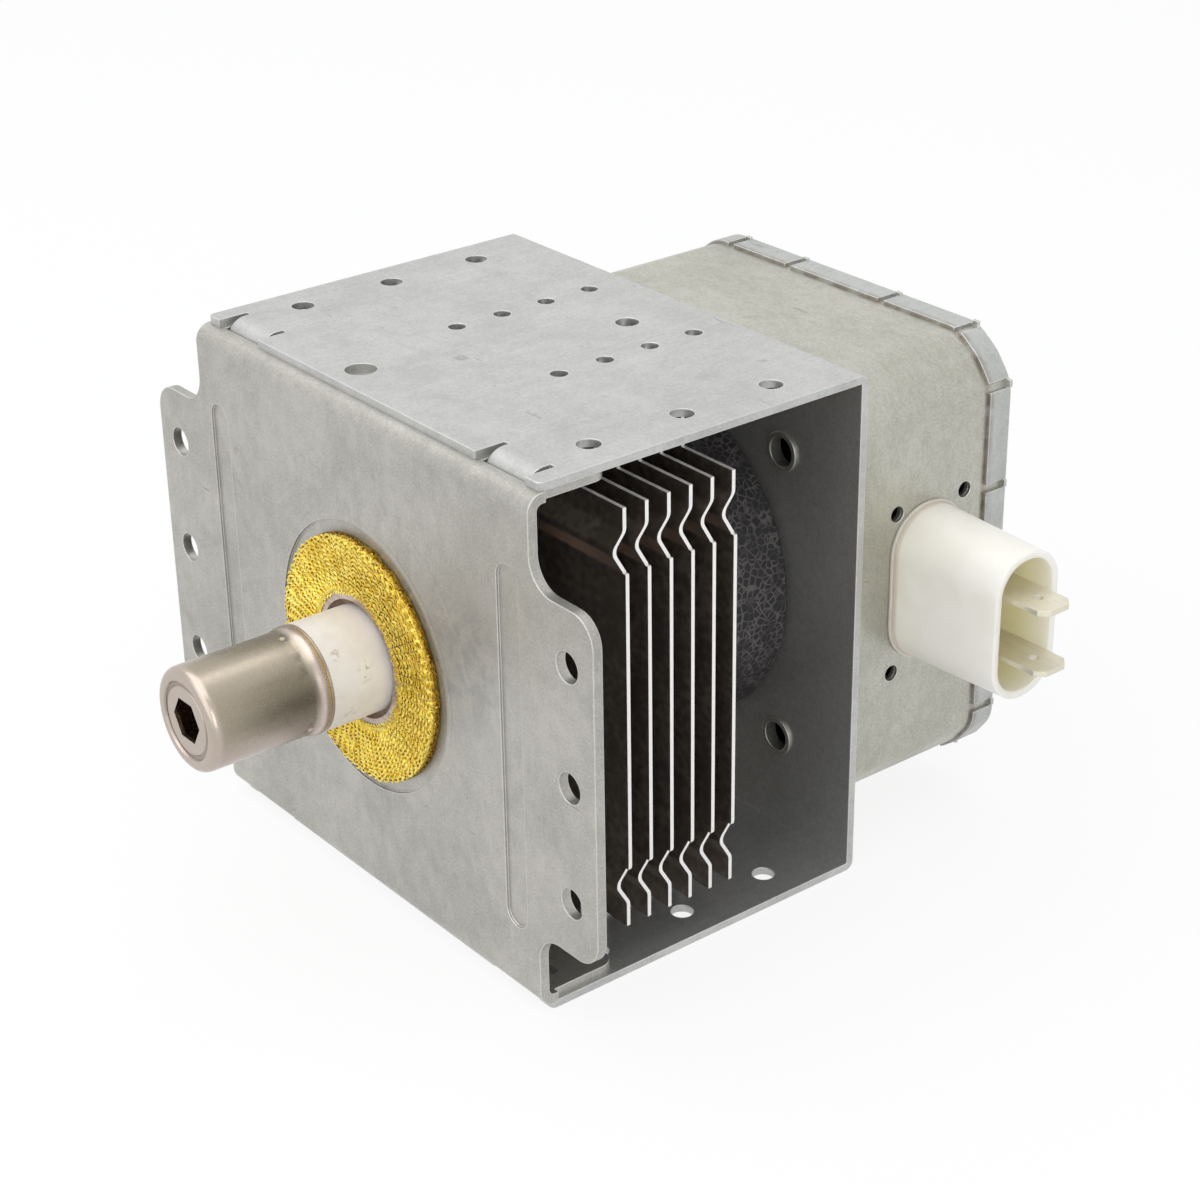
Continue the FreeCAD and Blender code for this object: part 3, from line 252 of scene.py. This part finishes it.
def fin_aluminium():
    """Rolled aluminium, bright where it was sheared, with painted shade making its faces dark brown."""
    f = Finish("fin_aluminium")
    edge = f.cut_edge()
    lines = f.noise(1.0, 3, 0.6, vector=f.stretched((0.9, 1, 0.9)))
    haze = f.noise(0.12, 3, 0.6)
    # painted shade: the faces are coloured dark brown for the shade that falls in the narrow gaps between the fins
    painted_face_shade = f.blend(f.span(f.times(lines, haze), 0.15, 0.4), (0.25, 0.21, 0.18), (0.41, 0.355, 0.31))
    bright = f.blend(f.noise(1.8, 3), (0.80, 0.79, 0.76), (0.97, 0.96, 0.94))
    f.set(Base_Color=f.blend(edge, painted_face_shade, bright), Metallic=f.span(edge, 0.0, 1.0, 0.9, 0.35),
          Roughness=f.span(lines, 0.3, 0.7, 0.3, 0.45))
    return f.relief(lines, 0.02, 0.3, softened=0.08).material


def ferrite(name, crackle):
    """Sintered ferrite. Crackle is how much its skin is broken into small cells with paler joints."""
    f = Finish(name)
    drift = f.node("ShaderNodeTexNoise", Vector=f.place, Scale=1.3).outputs["Color"]
    bent = f.vector("ADD", f.place, f.vector("SCALE", drift, scale=0.45))
    joint = f.span(f.cell_joints(0.92, bent), 0.15, 0.03)
    fade = f.span(f.noise(0.4, 3), 0.34, 0.6, 0.25, 1.0)
    mottle = f.noise(1.1, 4, 0.65)
    colour = f.blend(mottle, (0.017, 0.016, 0.017), (0.038, 0.036, 0.038))
    colour = f.marked(colour, f.times(joint, fade), 0.85 * crackle, (0.135, 0.122, 0.122))
    f.set(Base_Color=colour, Metallic=0.0, Roughness=0.55, Specular_IOR_Level=0.3)
    return f.relief(f.mixed((mottle, 1.0), (joint, -0.6 * crackle)), 0.06, 0.4, softened=0.2).material


def plain_metal(name, pale, dark, rough=0.35, metallic=1.0, stained=0.0):
    """Drawn or turned metal with fine lines round it and a little staining."""
    f = Finish(name)
    lines = f.noise(2.0, 3, 0.6, vector=f.stretched((0.1, 1.0, 1.0)))
    haze = f.noise(0.22, 4, 0.6, bend=0.6)
    colour = f.blend(f.span(f.mixed((lines, 0.4), (haze, 0.6)), 0.34, 0.66), dark, pale)
    if stained:
        spots = f.span(f.noise(0.8, 4, 0.65), 0.6, 0.7)
        colour = f.marked(colour, spots, stained, darker(dark, 0.35))
    f.set(Base_Color=colour, Metallic=metallic, Roughness=f.span(haze, 0.3, 0.7, rough + 0.06, rough - 0.06))
    return f.relief(lines, 0.015, 0.3, softened=0.12).material


def cap_nickel():
    """Drawn nickel: straw above, pink below and on nose and lip, with marks by the lip and a painted dark
    reflection band.
    """
    f = Finish("cap_nickel")
    along = f.axes["Y"]
    lines = f.noise(1.5, 3, 0.6, vector=f.stretched((1.0, 0.06, 1.0)))
    haze = f.noise(0.13, 4, 0.6, bend=0.7)
    fine = f.noise(1.1, 4, 0.6)
    low_side = f.vector("DOT_PRODUCT", f.place, (0.25, 0.0, -0.97))
    pink = f.span(f.math("ADD", low_side, f.times(haze, 5.0)), 3.5, 8.5)
    colour = f.blend(pink, (0.42, 0.37, 0.295), (0.45, 0.375, 0.335))

    # painted reflection: a dark band across the side facing +X, growing towards the lip, stands in for something
    # dark that the cap mirrors
    right_side = f.vector("DOT_PRODUCT", f.place, (0.92, 0.0, 0.0))
    painted_reflection_band = f.times(f.span(f.gap(low_side, 0.1), 4.2, 0.4), f.span(right_side, 0.0, 6.0))
    painted_reflection_band = f.times(painted_reflection_band, f.span(along, -29.5, -14.0, 0.1, 1.0))
    colour = f.marked(colour, painted_reflection_band, 0.85, (0.17, 0.145, 0.11))
    near_lip = f.times(f.span(along, CAP_MARKS_START, CAP_MARKS_FULL), f.span(along, -12.0, -12.7))
    marks = f.times(near_lip, f.span(f.noise(0.42, 5, 0.65), 0.46, 0.6))
    colour = f.marked(colour, marks, 0.55, (0.19, 0.165, 0.14))
    nose = f.span(along, CAP_NOSE_STARTS, CAP_NOSE_FULL)
    colour = f.marked(colour, nose, 0.75, (0.53, 0.455, 0.40))
    # painted shade with some dirt: the nose's ring groove is darkened so that the step shows
    groove = f.span(f.gap(f.from_axis(), CAP_NOSE_GROOVE), 0.5, 0.2)
    colour = f.marked(colour, f.times(groove, nose), 0.6, (0.2, 0.165, 0.14))
    lip = f.span(along, CAP_LIP_STARTS, CAP_LIP_FULL)
    colour = f.marked(colour, lip, 0.9, (0.60, 0.505, 0.45))
    f.set(Base_Color=colour, Metallic=1.0, Roughness=f.span(fine, 0.3, 0.7, 0.24, 0.32))
    return f.relief(lines, 0.008, 0.2).material


def ceramic():
    """Unglazed white ceramic with a few brown scuffs."""
    f = Finish("ceramic")
    grain = f.noise(4.0, 3)
    haze = f.noise(0.18, 4, 0.6)
    colour = f.blend(f.span(haze, 0.3, 0.7), (0.72, 0.67, 0.63), (0.80, 0.77, 0.735))
    streak = f.noise(0.8, 3, 0.6, vector=f.stretched((1, 0.8, 0.8), SCUFF_SHIFT), bend=0.8)
    for middle, reach in SCUFFS:
        away = f.vector("DISTANCE", f.place, middle)
        scuff = f.times(f.span(away, reach, reach * 0.5), f.span(streak, 0.52, 0.66, 0.0, 0.75))
        colour = f.blend(scuff, colour, (0.34, 0.25, 0.19))
    f.set(Base_Color=colour, Roughness=0.42, Subsurface_Weight=0.15, Subsurface_Radius=(0.9, 0.7, 0.6),
          Subsurface_Scale=0.8 * MM)
    return f.relief(grain, 0.02, 0.25, softened=0.2).material


def knit_brass():
    """Bright yellow gasket wire, with painted shade darkening it deep between its loops."""
    f = Finish("knit_brass")
    haze = f.noise(0.35, 4, 0.6)
    fine = f.noise(3.0, 2)
    tone = f.span(f.mixed((haze, 1.0), (fine, 0.5)), 0.5, 1.0)
    colour = f.blend(tone, (0.74, 0.53, 0.06), (0.95, 0.79, 0.18))
    # painted shade: the wire is darkened with depth towards the plate, where it lies deep between the loops
    shallow = f.span(f.axes["Y"], -0.7, -1.05)
    colour = f.blend(shallow, (0.42, 0.26, 0.03), colour)
    f.set(Base_Color=colour, Metallic=0.9, Roughness=0.3)
    return f.relief(fine, 0.03, 0.3).material


def cream_plastic():
    """Moulded plastic: ivory outside, browned at its foot, with small specks, and painted a bright warm yellow in
    the socket for the light that shines through its walls.
    """
    f = Finish("cream_plastic")
    across = f.vector("ABSOLUTE", f.vector("SUBTRACT", f.place, SOCKET_MIDDLE))
    past_core = f.vector("MAXIMUM", f.vector("SUBTRACT", across, SOCKET_CORE), (0, 0, 0))
    from_core = f.vector("LENGTH", f.vector("MULTIPLY", past_core, (0, 1, 1)))
    # painted light: inside the socket the same plastic is coloured bright warm yellow for the light that comes
    # through its translucent walls
    inside = f.span(from_core, SOCKET_ROUND + 0.45, SOCKET_ROUND + 0.1)
    inside = f.times(inside, f.span(f.axes["X"], SOCKET_RIM, 50.0, 0.3, 1.0))
    haze = f.noise(0.14, 3, 0.5)
    outside = f.blend(f.span(haze, 0.3, 0.7), (0.87, 0.84, 0.745), (0.93, 0.905, 0.825))
    colour = f.blend(inside, outside, (1.0, 0.885, 0.625))
    specks = f.span(f.noise(1.3, 4, 0.7), 0.72, 0.80, 0.0, 0.3)
    colour = f.blend(specks, colour, (0.45, 0.38, 0.30))
    foot = f.span(f.axes["X"], HOUSING_FOOT_END, HOUSING_FOOT, 0.0, 0.6)
    colour = f.blend(foot, colour, (0.66, 0.56, 0.43))
    f.set(Base_Color=colour, Roughness=0.4, Subsurface_Weight=0.9, Subsurface_Radius=(1.0, 1.0, 1.0),
          Subsurface_Scale=2.4 * MM)
    return f.relief(f.noise(1.2, 2), 0.02, 0.15, softened=0.25).material


def resin():
    """Cast resin, dark brown, with a pitted skin."""
    f = Finish("resin")
    pits = f.noise(1.6, 4, 0.7)
    f.set(Base_Color=f.blend(pits, (0.035, 0.022, 0.015), (0.09, 0.06, 0.045)), Roughness=0.5)
    return f.relief(pits, 0.1, 0.4, softened=0.2).material


def dress(material, *names):
    for name in names:
        mesh = NODES[name].data
        mesh.materials.clear()
        mesh.materials.append(material)


def dress_sheets():
    dress(zinc("plate_zinc", (0.515, 0.503, 0.462), (0.37, 0.363, 0.333), (0.6, 1, 0.25), grain=1.6,
               streaks=0.12, handled=True), "front_plate")
    dress(zinc("yoke_zinc", (0.585, 0.59, 0.575), (0.45, 0.455, 0.445), (1.0, 0.08, 1.0), grain=1.5,
               streaks=0.14), "yoke_channel")
    dress(zinc("box_zinc", (0.535, 0.53, 0.47), (0.41, 0.405, 0.35), (0.4, 1.0, 0.4), grain=1.9,
               rough=0.36, rust_and_seam_shade=0.6), "filter_box", "filter_plate")
    dress(zinc("lid_zinc", (0.54, 0.55, 0.53), (0.42, 0.43, 0.42), (1.0, 0.3, 0.3), grain=1.1,
               rust_and_seam_shade=0.5), "filter_lid")
    dress(fin_aluminium(), *FINS)


def dress_tube():
    dress(ferrite("ferrite_smooth", 0.15), "front_magnet")
    dress(ferrite("ferrite_crackled", 1.0), "rear_magnet", "upper_ferrite_core", "lower_ferrite_core")
    copper = plain_metal("tube_copper", (0.78, 0.45, 0.31), (0.55, 0.27, 0.17), stained=0.4)
    dress(copper, "anode_shell", "antenna_lead", "exhaust_tube", *VANES, *STRAPS)
    dress(plain_metal("pole_iron", (0.46, 0.45, 0.44), (0.30, 0.29, 0.29)), "front_pole_piece", "rear_pole_piece")
    seal = plain_metal("seal_metal", (0.60, 0.49, 0.42), (0.38, 0.30, 0.25), rough=0.24, stained=0.35)
    dress(seal, "output_seal_cup", "input_seal_cup")
    dress(plain_metal("neck_metal", (0.60, 0.51, 0.45), (0.50, 0.42, 0.37), rough=0.3), "output_seal_ring")
    dress(ceramic(), "output_ceramic", "stem_ceramic")
    cathode = plain_metal("cathode_metal", (0.38, 0.38, 0.40), (0.22, 0.22, 0.24))
    dress(cathode, "filament", "front_end_hat", "rear_end_hat", "centre_lead", "side_lead")


def dress_connector():
    dress(cream_plastic(), "connector_housing")
    dress(resin(), "capacitor_body")
    tinned = plain_metal("tinned_metal", (0.81, 0.77, 0.635), (0.70, 0.66, 0.54), rough=0.42, metallic=0.6)
    dress(tinned, "upper_terminal_blade", "lower_terminal_blade", "upper_stem_terminal", "lower_stem_terminal")
    wire = plain_metal("enamelled_wire", (0.52, 0.24, 0.10), (0.30, 0.11, 0.05), rough=0.2, metallic=0.8)
    dress(wire, "upper_choke_coil", "lower_choke_coil")


# Steps that the pieces below share

def alone(piece):
    bpy.ops.object.select_all(action="DESELECT")
    piece.select_set(True)
    bpy.context.view_layer.objects.active = piece


def joined(pieces):
    """Joins the pieces into the first one."""
    bpy.ops.object.select_all(action="DESELECT")
    for piece in pieces:
        piece.select_set(True)
    bpy.context.view_layer.objects.active = pieces[0]
    bpy.ops.object.join()
    return bpy.context.active_object


def settled(piece):
    """Puts the piece's place into its mesh."""
    alone(piece)
    bpy.ops.object.transform_apply(location=True, rotation=True, scale=True)
    return piece


def applied(piece, kind, **settings):
    alone(piece)
    modifier = piece.modifiers.new(kind.title(), kind)
    for name, value in settings.items():
        setattr(modifier, name, value)
    bpy.ops.object.modifier_apply(modifier=modifier.name)
    return piece


def copied(piece, name):
    twin = piece.copy()
    twin.data = piece.data.copy()
    twin.name = name
    bpy.context.collection.objects.link(twin)
    return twin


# The gasket's knitted wire

GASKET_ROWS = 12
GASKET_INNER = 10.4
GASKET_OUTER = 17.8
GASKET_FACE = -1.22
GASKET_EDGE = ((18.0, 0.3, -45), (18.3, 0.75, -80))  # radius, depth below the face and tilt of each edge row
END_ROW_SINK = 0.22
LOOP_ROUND, WIRE_ROUND = 0.5, 0.16
LOOP_SEGMENTS, WIRE_SEGMENTS = 8, 3
UPPER_COLUMNS, UPPER_TILT = 76, 16
LOWER_COLUMNS, LOWER_TILT, LOWER_DEPTH, LOWER_PHASE = 91, -20, 0.2, 0.03
PAD_SHRINK = 0.15
PAD_WELD = 0.01
SLACK_SCALE, SLACK = 1.3, 0.6


def stitch(radius, wide, tall, face, tilt):
    """One loop of wire, standing out at the given radius and leaning over the next row."""
    bpy.ops.object.select_all(action="DESELECT")
    bpy.ops.mesh.primitive_torus_add(major_segments=LOOP_SEGMENTS, minor_segments=WIRE_SEGMENTS,
                                     major_radius=LOOP_ROUND * MM, minor_radius=WIRE_ROUND * MM,
                                     location=(0, face * MM, radius * MM), rotation=(math.radians(90 + tilt), 0, 0))
    loop = bpy.context.active_object
    loop.scale = (wide, tall, 1.0)
    return settled(loop)


def knit_layer(name, columns, face, tilt, phase):
    """A ring of stitches: one radial column of them, repeated round the tube's axis."""
    step = (GASKET_OUTER - GASKET_INNER) / (GASKET_ROWS - 1)
    loops = []
    for row in range(GASKET_ROWS):
        radius = GASKET_INNER + step * row
        pitch = 2 * math.pi * radius / columns
        sink = END_ROW_SINK if row in (0, GASKET_ROWS - 1) else 0.0
        loops.append(stitch(radius, pitch * 0.8, step * 1.75, face + sink, tilt))
    for radius, sink, turned_out in GASKET_EDGE:
        pitch = 2 * math.pi * radius / columns
        loops.append(stitch(radius, pitch * 0.95, step * 1.3, face + sink, turned_out))
    column = joined(loops)
    column.name = name
    bpy.ops.object.empty_add(rotation=(0, math.tau / columns, 0))
    turn = bpy.context.active_object
    applied(column, "ARRAY", count=columns, use_relative_offset=False, use_object_offset=True, offset_object=turn)
    bpy.data.objects.remove(turn)
    column.rotation_euler = (0, phase, 0)
    return settled(column)


def knitted_gasket():
    """The gasket's solid ring, a little thinner, under two layers of slack stitches."""
    pad = copied(NODES["rf_gasket"], "gasket_knit")
    alone(pad)
    bpy.ops.object.mode_set(mode="EDIT")
    bpy.ops.mesh.select_all(action="SELECT")
    bpy.ops.mesh.remove_doubles(threshold=PAD_WELD * MM)
    bpy.ops.transform.shrink_fatten(value=-PAD_SHRINK * MM)
    bpy.ops.object.mode_set(mode="OBJECT")
    upper = knit_layer("UpperKnit", UPPER_COLUMNS, GASKET_FACE, UPPER_TILT, 0.0)
    lower = knit_layer("LowerKnit", LOWER_COLUMNS, GASKET_FACE + LOWER_DEPTH, LOWER_TILT, LOWER_PHASE)
    clouds = bpy.data.textures.new("KnitSlack", "CLOUDS")
    clouds.noise_scale = SLACK_SCALE * MM
    for layer in (upper, lower):
        for way in ("X", "Y", "Z"):
            applied(layer, "DISPLACE", texture=clouds, texture_coords="LOCAL", direction=way, strength=SLACK * MM)
    knit = joined([pad, upper, lower])
    knit.data.materials.clear()
    knit.data.materials.append(knit_brass())
    bpy.ops.object.shade_smooth_by_angle(angle=math.radians(60))
    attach(knit, "root")
    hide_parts("rf_gasket")


# The antenna's cap

CAP_PROFILE = (  # radius and Y, from the middle of the inside round the lip to the middle of the face
    (2.0, -28.25), (6.0, -28.25), (6.85, -28.0), (7.2, -27.3), (7.2, -10.4), (7.84, -10.4), (7.98, -10.5),
    (8.05, -10.8), (8.05, -11.15), (8.01, -11.45), (7.93, -11.75), (7.83, -12.05), (7.74, -12.35),
    (7.67, -12.7), (7.65, -13.0), (7.65, -14.6), (7.65, -20.0), (7.65, -27.6), (7.65, -27.9), (7.58, -28.25),
    (7.4, -28.6), (7.1, -28.86), (6.7, -28.99), (6.5, -29.0), (5.8, -29.0), (5.6, -28.7), (5.1, -28.7),
    (4.95, -28.82), (2.0, -28.82))
CAP_SEGMENTS = 96
HEXAGON_ROUND = 3.35
HEXAGON_MIDDLE = -28.5
HEXAGON_DEPTH = 2
DIMPLES = (85, 205, 325)
DIMPLE_Y = -13.5
DIMPLE_OUT = 8.2
DIMPLE_ROUND = 0.85


def turned(name, profile, segments):
    """A solid turned about the Y axis: a disc drawn out ring by ring through the profile."""
    radius, along = profile[0]
    bpy.ops.object.select_all(action="DESELECT")
    bpy.ops.mesh.primitive_circle_add(vertices=segments, radius=radius * MM, fill_type="NGON",
                                      location=(0, along * MM, 0), rotation=(math.radians(90), 0, 0))
    piece = bpy.context.active_object
    piece.name = name
    settled(piece)
    bpy.ops.object.mode_set(mode="EDIT")
    bpy.ops.mesh.select_all(action="SELECT")
    for (last_radius, last_along), (radius, along) in zip(profile, profile[1:]):
        bpy.ops.mesh.extrude_region_move(TRANSFORM_OT_translate={"value": (0, (along - last_along) * MM, 0)})
        grow = radius / last_radius
        bpy.ops.transform.resize(value=(grow, 1, grow), center_override=(0, 0, 0))
    bpy.ops.mesh.select_all(action="SELECT")
    bpy.ops.mesh.normals_make_consistent(inside=False)
    bpy.ops.object.mode_set(mode="OBJECT")
    return piece


def cut_by(piece, tool):
    """Takes the tool's shape out of the piece."""
    applied(piece, "BOOLEAN", operation="DIFFERENCE", solver="EXACT", object=tool)
    bpy.data.objects.remove(tool)


def drawn_cap():
    """The cap with its six-sided hole, rolled lip and small dimples."""
    cap = turned("drawn_cap", CAP_PROFILE, CAP_SEGMENTS)
    bpy.ops.object.select_all(action="DESELECT")
    bpy.ops.mesh.primitive_cylinder_add(vertices=6, radius=HEXAGON_ROUND * MM, depth=HEXAGON_DEPTH * MM,
                                        location=(0, HEXAGON_MIDDLE * MM, 0),
                                        rotation=(math.radians(90), math.radians(30), 0))
    cut_by(cap, settled(bpy.context.active_object))
    for turn in DIMPLES:
        out = DIMPLE_OUT * MM
        place = (out * math.cos(math.radians(turn)), DIMPLE_Y * MM, out * math.sin(math.radians(turn)))
        bpy.ops.object.select_all(action="DESELECT")
        bpy.ops.mesh.primitive_uv_sphere_add(segments=24, ring_count=16, radius=DIMPLE_ROUND * MM, location=place)
        cut_by(cap, settled(bpy.context.active_object))
    cap.data.materials.clear()
    cap.data.materials.append(cap_nickel())
    alone(cap)
    bpy.ops.object.shade_smooth_by_angle(angle=math.radians(28))
    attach(cap, "root")
    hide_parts("antenna_cap")


# Studio, in metres and watts from here on

FLOOR = -0.0398
FLOOR_GAP = 0.00003
FLOOR_SIZE = 6.0
FLOOR_WHITE_SHARE = 0.86
PAPER = (0.88, 0.88, 0.88, 1.0)
WHITE = (1.0, 1.0, 1.0, 1.0)
FILL_COLOUR, FILL_STRENGTH = (0.97, 0.98, 1.0, 1.0), 0.72

LAMPS = (  # name, place, the point it faces, side length and power
    ("top_box", (-0.1, -0.15, 0.85), (0, 0.02, 0), 1.1, 4.2),
    ("front_box", (0.05, -0.8, 0.35), (0, 0.02, 0), 1.0, 2.5),
    ("right_box", (0.85, -0.42, 0.24), (0, 0.04, 0), 0.5, 1.4))

CAMERA_PLACE = (0.280922, -0.178008, 0.173952)
CAMERA_TURN = (63.42419, 0.80224, 51.41471)  # degrees
SENSOR_WIDE, LENS = 36.0, 79.022  # millimetres
CLIP_START, CLIP_END = 0.01, 20.0


def seen_directly(tree):
    """One for rays from the camera, or ones that a surface mirrors or lets through."""
    path = tree.nodes.new("ShaderNodeLightPath")
    highest = path.outputs["Is Camera Ray"]
    for name in ("Is Glossy Ray", "Is Transmission Ray"):
        larger = tree.nodes.new("ShaderNodeMath")
        larger.operation = "MAXIMUM"
        tree.links.new(highest, larger.inputs[0])
        tree.links.new(path.outputs[name], larger.inputs[1])
        highest = larger.outputs[0]
    return highest


def mixed_into(tree, output, factor, first, second):
    """Ends a material or a world in a mix of two shaders."""
    mix = tree.nodes.new("ShaderNodeMixShader")
    end = tree.nodes.new(output)
    tree.links.new(factor, mix.inputs[0])
    tree.links.new(first.outputs[0], mix.inputs[1])
    tree.links.new(second.outputs[0], mix.inputs[2])
    tree.links.new(mix.outputs[0], end.inputs["Surface"])


def studio_floor():
    bpy.ops.object.select_all(action="DESELECT")
    bpy.ops.mesh.primitive_plane_add(size=FLOOR_SIZE, location=(0, 0, FLOOR - FLOOR_GAP))
    floor = bpy.context.active_object
    floor.name = "studio_floor"
    material = bpy.data.materials.new("paper")
    material.use_nodes = True
    tree = material.node_tree
    tree.nodes.clear()
    paper = tree.nodes.new("ShaderNodeBsdfDiffuse")
    paper.inputs["Color"].default_value = PAPER
    glow = tree.nodes.new("ShaderNodeEmission")
    glow.inputs["Color"].default_value = WHITE
    share = tree.nodes.new("ShaderNodeMath")
    share.operation = "MULTIPLY"
    share.inputs[1].default_value = FLOOR_WHITE_SHARE
    tree.links.new(seen_directly(tree), share.inputs[0])
    mixed_into(tree, "ShaderNodeOutputMaterial", share.outputs[0], paper, glow)
    floor.data.materials.append(material)


def studio_world():
    world = bpy.data.worlds.new("studio")
    bpy.context.scene.world = world
    world.use_nodes = True
    tree = world.node_tree
    tree.nodes.clear()
    fill = tree.nodes.new("ShaderNodeBackground")
    fill.inputs["Color"].default_value = FILL_COLOUR
    fill.inputs["Strength"].default_value = FILL_STRENGTH
    seen = tree.nodes.new("ShaderNodeBackground")
    seen.inputs["Color"].default_value = WHITE
    mixed_into(tree, "ShaderNodeOutputWorld", seen_directly(tree), fill, seen)


def softbox(name, place, aim, side, power):
    bpy.ops.object.light_add(type="AREA", location=place)
    lamp = bpy.context.active_object
    lamp.name = name
    lamp.data.shape = "RECTANGLE"
    lamp.data.size = lamp.data.size_y = side
    lamp.data.energy = power
    lamp.rotation_mode = "QUATERNION"
    lamp.rotation_quaternion = (Vector(aim) - Vector(place)).to_track_quat("-Z", "Y")


def camera():
    bpy.ops.object.camera_add(location=CAMERA_PLACE, rotation=[math.radians(turn) for turn in CAMERA_TURN])
    eye = bpy.context.active_object
    eye.data.sensor_width = SENSOR_WIDE
    eye.data.lens = LENS
    eye.data.clip_start, eye.data.clip_end = CLIP_START, CLIP_END
    bpy.context.scene.camera = eye


dress_sheets()
dress_tube()
dress_connector()
knitted_gasket()
drawn_cap()
studio_floor()
studio_world()
for lamp in LAMPS:
    softbox(*lamp)
camera()
bpy.context.scene.view_settings.view_transform = "Standard"
bpy.context.view_layer.update()
